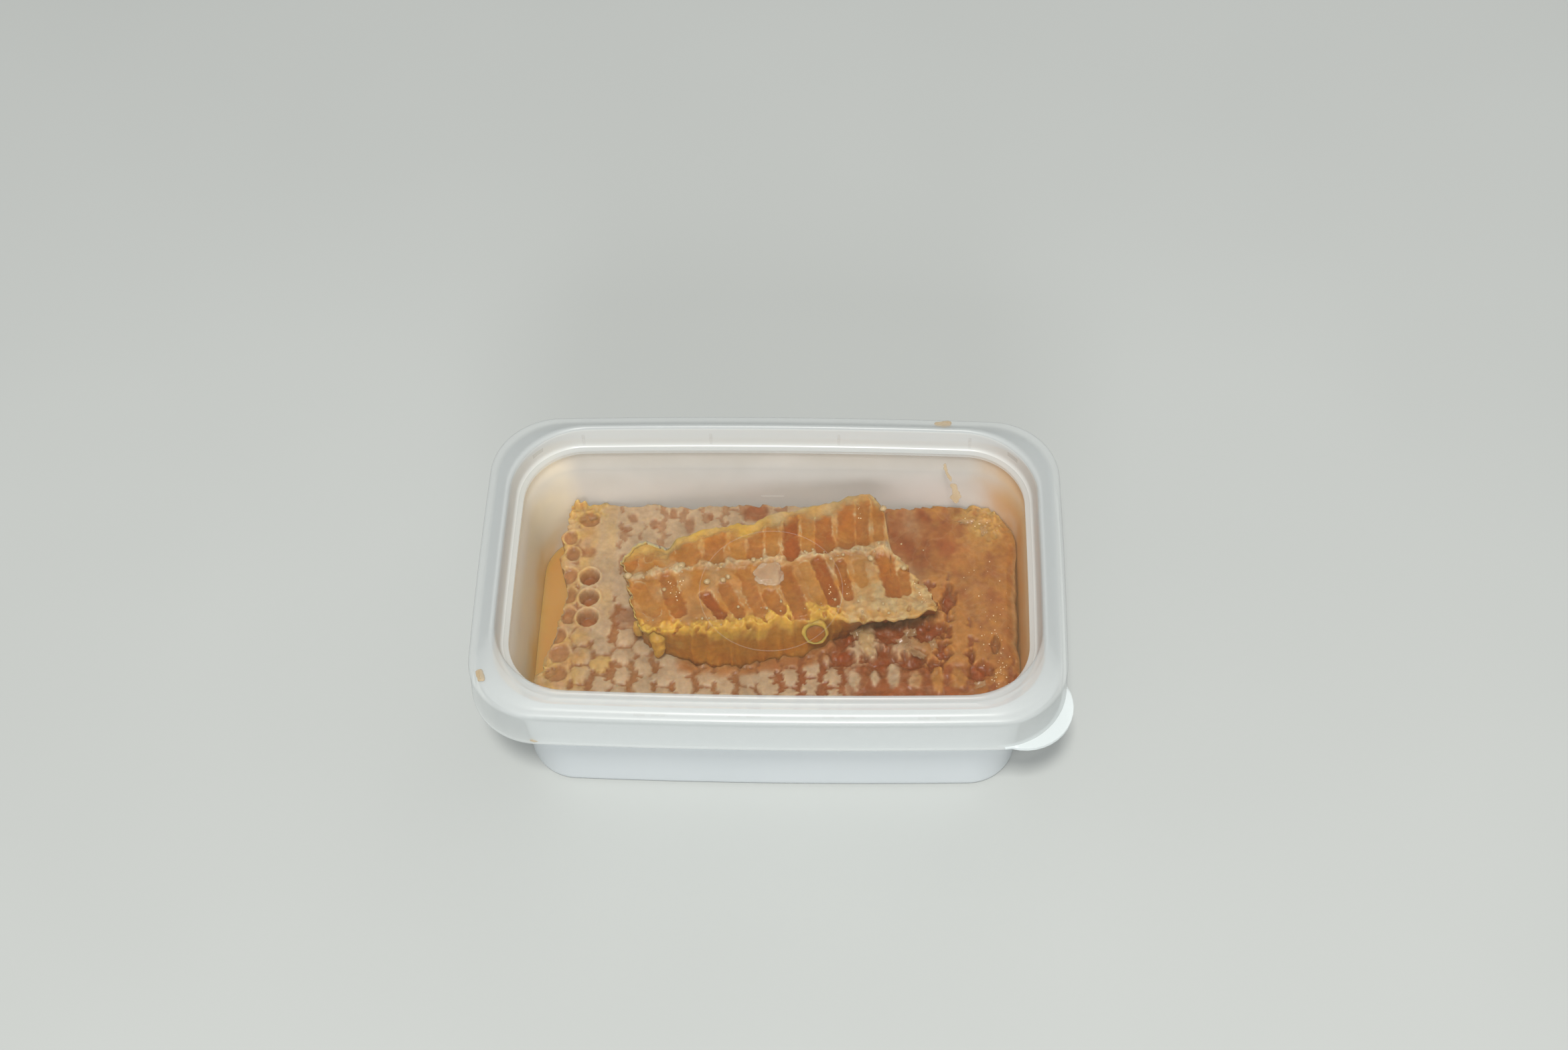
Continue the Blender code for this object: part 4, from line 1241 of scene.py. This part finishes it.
# %% Open cell in the strip's front
CELL_RADIUS = 2.7
RIM_RADIUS = 0.42
cell_place = Matrix.Translation(Vector((10.5, -9.75, 31.8)))
cell_turn = Vector((0.05, -0.72, 0.69)).to_track_quat("Z", "Y").to_matrix().to_4x4()
open_cell = bmesh.new()
open_cell.verts.layers.float_color.new("comb")
add_ring(open_cell, Vector((0.0, 0.0, 0.0)), CELL_RADIUS, RIM_RADIUS, sides=10, steps=36)
for vert in open_cell.verts:
    angle = math.atan2(vert.co.y, vert.co.x)
    ring_point = Vector((CELL_RADIUS * math.cos(angle), CELL_RADIUS * math.sin(angle), 0.0))
    thickness = 1.15 + 0.6 * math.sin(angle + 0.3) + 0.4 * rough_noise(*ring_point, 2.0)
    vert.co = ring_point + (vert.co - ring_point) * thickness
    vert.co *= 1.0 + 0.1 * rough_noise(*vert.co, 2.6) + 0.08 * rough_noise(*vert.co, 0.9)
    vert.co.y *= 0.94
mark(open_cell, open_cell.verts, (1.0, 0.5, 0.9, 0.1))
flat_bowl = Matrix.Translation(Vector((0.0, 0.0, -0.25))) @ Matrix.Scale(0.12, 4, (0, 0, 1))
bowl = bmesh.ops.create_uvsphere(open_cell, u_segments=24, v_segments=12, radius=CELL_RADIUS, matrix=flat_bowl)
mark(open_cell, bowl["verts"], (0.0, 0.5, 0.2, 0.55))
bmesh.ops.transform(open_cell, matrix=cell_place @ cell_turn, verts=open_cell.verts)
bmesh.ops.recalc_face_normals(open_cell, faces=open_cell.faces)
finish_piece("comb_open_cell", open_cell, [cut_comb])

# %% [markdown]
# ## Crumbs, bubbles and flakes
#
# Cutting comb leaves white crumbs of wax along the midrib and the rim. There are many and they
# are small, so each is an uneven ball of only eighty faces, and all are joined in one mesh. The
# ten largest have places of their own.

# %% Crumbs of wax
milky_wax = mottled_material("milky_wax_crumbs", 1.2, "A88C62", "BCA680", {
    "Roughness": 0.3, "IOR": WAX_IOR, **scatter(0.4, 1.5, 1.2, 0.8)})
chance_source = random.Random(11)


def add_ball(bm, x, y, z, size, flat=1.0, subdivisions=1):
    """A small uneven ball."""
    made = bmesh.ops.create_icosphere(bm, subdivisions=subdivisions, radius=size)
    for vert in made["verts"]:
        vert.co *= 1.0 + 0.3 * rough_noise(vert.co.x + x, vert.co.y + y, vert.co.z, 0.8 * size)
        vert.co = Vector((vert.co.x + x, vert.co.y + y, vert.co.z * flat + z))


crumbs = bmesh.new()
for _ in range(70):
    x = chance_source.uniform(-34.0, 36.0)
    near_rib = chance_source.random() < 0.5
    middle = between(MIDRIB, x) - 0.6 if near_rib else between(FRONT_EDGE, x) + 3.2
    y = middle + chance_source.gauss(0.0, 1.1 if near_rib else 1.4)
    size = chance_source.choice((0.14, 0.2, 0.28, 0.4))
    add_ball(crumbs, x, y, strip_surface(x, y)[0] + 0.3 * size, size, 0.8)
for x, y, size in ((-34.3, 3.1, 0.9), (-25.5, -0.6, 0.5), (-21.7, 5.6, 1.0), (-15.4, 1.2, 0.75), (-11.6, 1.7, 0.7),
                   (-10.4, 2.6, 0.6), (-4.5, 7.3, 0.6), (26.3, 23.4, 0.9), (31.3, 5.8, 0.7), (23.4, 8.4, 0.8)):
    add_ball(crumbs, x, y, strip_surface(x, y)[0] + 0.4 * size, size, 0.8, subdivisions=2)
finish_piece("milky_wax_crumbs", crumbs, [milky_wax])

# %% [markdown]
# Honey holds tiny air bubbles, which show as bright points. On the slab they lie in loose
# groups near the right end, and on the strip they are strung out along a few gutters.

# %% Bubbles in the honey
bubble_skin = mottled_material("air_bubbles_in_honey", 1.0, "E8C48C", "F4E4C4",
                               {"Roughness": 0.08, "IOR": 1.45, "Coat Weight": 0.5})
bubbles = bmesh.new()
for middle_x, middle_y, spread_x, spread_y, count in ((54.6, -15.5, 1.0, 3.5, 40), (53.0, -3.0, 1.5, 5.0, 18),
                                                      (51.0, 8.0, 3.0, 8.0, 14), (50.5, 27.0, 2.5, 1.2, 12)):
    for _ in range(count):
        x = middle_x + chance_source.gauss(0.0, spread_x)
        y = middle_y + chance_source.gauss(0.0, spread_y)
        x = min(x, slab_right(y) - 0.8)
        size = chance_source.choice((0.1, 0.14, 0.2))
        add_ball(bubbles, x, max(y, -24.0), slab_surface(x, y)[0] + 0.05, size)
for x0, y0, x1, y1, count in ((-24.4, 1.6, -22.0, -4.0, 12), (-21.8, 3.4, -21.0, -2.0, 8), (13.0, 3.0, 14.4, -2.4, 7),
                              (17.0, 4.0, 18.0, -1.5, 5), (20.6, 24.0, 20.9, 18.0, 5), (33.5, 2.0, 36.5, -4.0, 12)):
    for _ in range(count):
        share = chance_source.random()
        x = x0 + (x1 - x0) * share + chance_source.gauss(0.0, 0.25)
        y = y0 + (y1 - y0) * share
        size = chance_source.choice((0.09, 0.13, 0.19))
        add_ball(bubbles, x, y, strip_surface(x, y)[0] + 0.05, size)
finish_piece("honey_bubbles", bubbles, [bubble_skin])

# %% [markdown]
# Thin torn cappings lie on the wet part of the slab. Each is a small grid with a ragged edge,
# crinkled by noise and given a tenth of a millimetre of thickness. Wax this thin is nearly
# clear, so it is made like the lid: each face hides a share of what is behind it.

# %% Flakes of torn capping
flake_wax = milky_sheet("thin_torn_capping_wax", 0.24, "C8A87C", 0.3)
FLAKE_THICKNESS = 0.12
flakes = bmesh.new()
for x, y, z, length, width, turn, tilt in (
        (31.4, -7.4, 24.7, 3.6, 2.4, 0.7, 0.3), (34.2, -10.4, 24.7, 4.6, 1.8, -0.6, -0.2),
        (33.0, -5.0, 25.0, 2.6, 1.6, 0.2, 0.4), (19.8, -4.8, 24.8, 2.6, 2.2, 0.9, 0.3),
        (49.5, -19.0, 24.6, 2.4, 1.4, 0.2, 0.1), (47.0, 27.6, 24.9, 3.6, 1.2, 0.1, 0.2),
        (51.2, 25.0, 24.9, 1.6, 2.8, 0.2, 0.2), (38.6, -8.0, 24.7, 1.6, 2.4, 0.4, 0.3)):
    place = Matrix.Translation(Vector((x, y, z))) @ Matrix.Rotation(turn, 4, "Z") @ Matrix.Rotation(tilt, 4, "X")
    made = bmesh.ops.create_grid(flakes, x_segments=14, y_segments=10, size=0.5)
    for vert in made["verts"]:
        flat_x, flat_y = vert.co.x, vert.co.y
        ragged = 1.0 + 0.5 * rough_noise(flat_x * 3.0 + x, flat_y * 3.0 + y, 1.0, 0.8)
        lift = 0.8 * rough_noise(flat_x * length + x, flat_y * width + y, 2.0, 1.6)
        vert.co = place @ Vector((flat_x * length * ragged, flat_y * width * ragged, lift))
bmesh.ops.solidify(flakes, geom=flakes.faces[:], thickness=FLAKE_THICKNESS)
bmesh.ops.recalc_face_normals(flakes, faces=flakes.faces)
finish_piece("torn_capping_flakes", flakes, [flake_wax])

# %% [markdown]
# One soft clump of milky wax, about six millimetres across, lies pressed flat on the strip
# just in front of the midrib. It is a ball made uneven by noise and squashed to a fifth.

# %% Clump of milky wax on the strip
clump_wax = milky_sheet("clump_of_milky_wax", 0.3, "DCC8AC", 0.4)
CLUMP_RADIUS = 3.0
clump = bmesh.new()
bmesh.ops.create_icosphere(clump, subdivisions=4, radius=CLUMP_RADIUS)
for vert in clump.verts:
    uneven = 1.0 + 0.4 * rough_noise(*vert.co, 2.4) + 0.16 * rough_noise(*vert.co, 0.9)
    vert.co = Vector((vert.co.x * uneven * 1.15 - 0.5, vert.co.y * uneven + 3.4, vert.co.z * uneven * 0.2 + 36.6))
finish_piece("milky_wax_clump", clump, [clump_wax])

# %% [markdown]
# Handling has left a few dried smears of honey on the lid: on the back rim, on the window near
# the right back corner, at the left front corner and on the skirt. They are thin lumps,
# pressed flat, and see-through like any thin film of honey.

# %% Smears on the lid
dried_honey = mottled_material("dried_honey_smear", 1.5, "CDB588", "BF9D6A", {"Roughness": 0.35, "Alpha": 0.4})
smears = bmesh.new()
for path, radii, squash, uneven in (
        ([(41.0, 31.0, 43.72), (41.4, 29.0, 43.72), (42.4, 26.6, 43.72)], [0.5, 0.35, 0.5], (1, 1, 0.12), 0.8),
        ([(43.2, 24.4, 43.72), (43.9, 21.4, 43.72)], [1.0, 1.4], (1, 1, 0.1), 0.9),
        ([(39.2, 41.0, 46.9), (41.8, 41.0, 46.9)], [0.7, 0.8], (1, 1, 0.3), 0.6),
        ([(-65.3, -31.0, 47.1), (-64.5, -32.8, 47.0)], [0.8, 0.7], (1, 1, 0.4), 0.6),
        ([(-53.4, -42.45, 36.4), (-52.4, -42.55, 36.2)], [0.5, 0.4], (1, 0.5, 1), 0.6)):
    add_lump(smears, path, radii, squash, uneven)
finish_piece("dried_honey_smears", smears, [dried_honey])

# %% [markdown]
# ## Finish
#
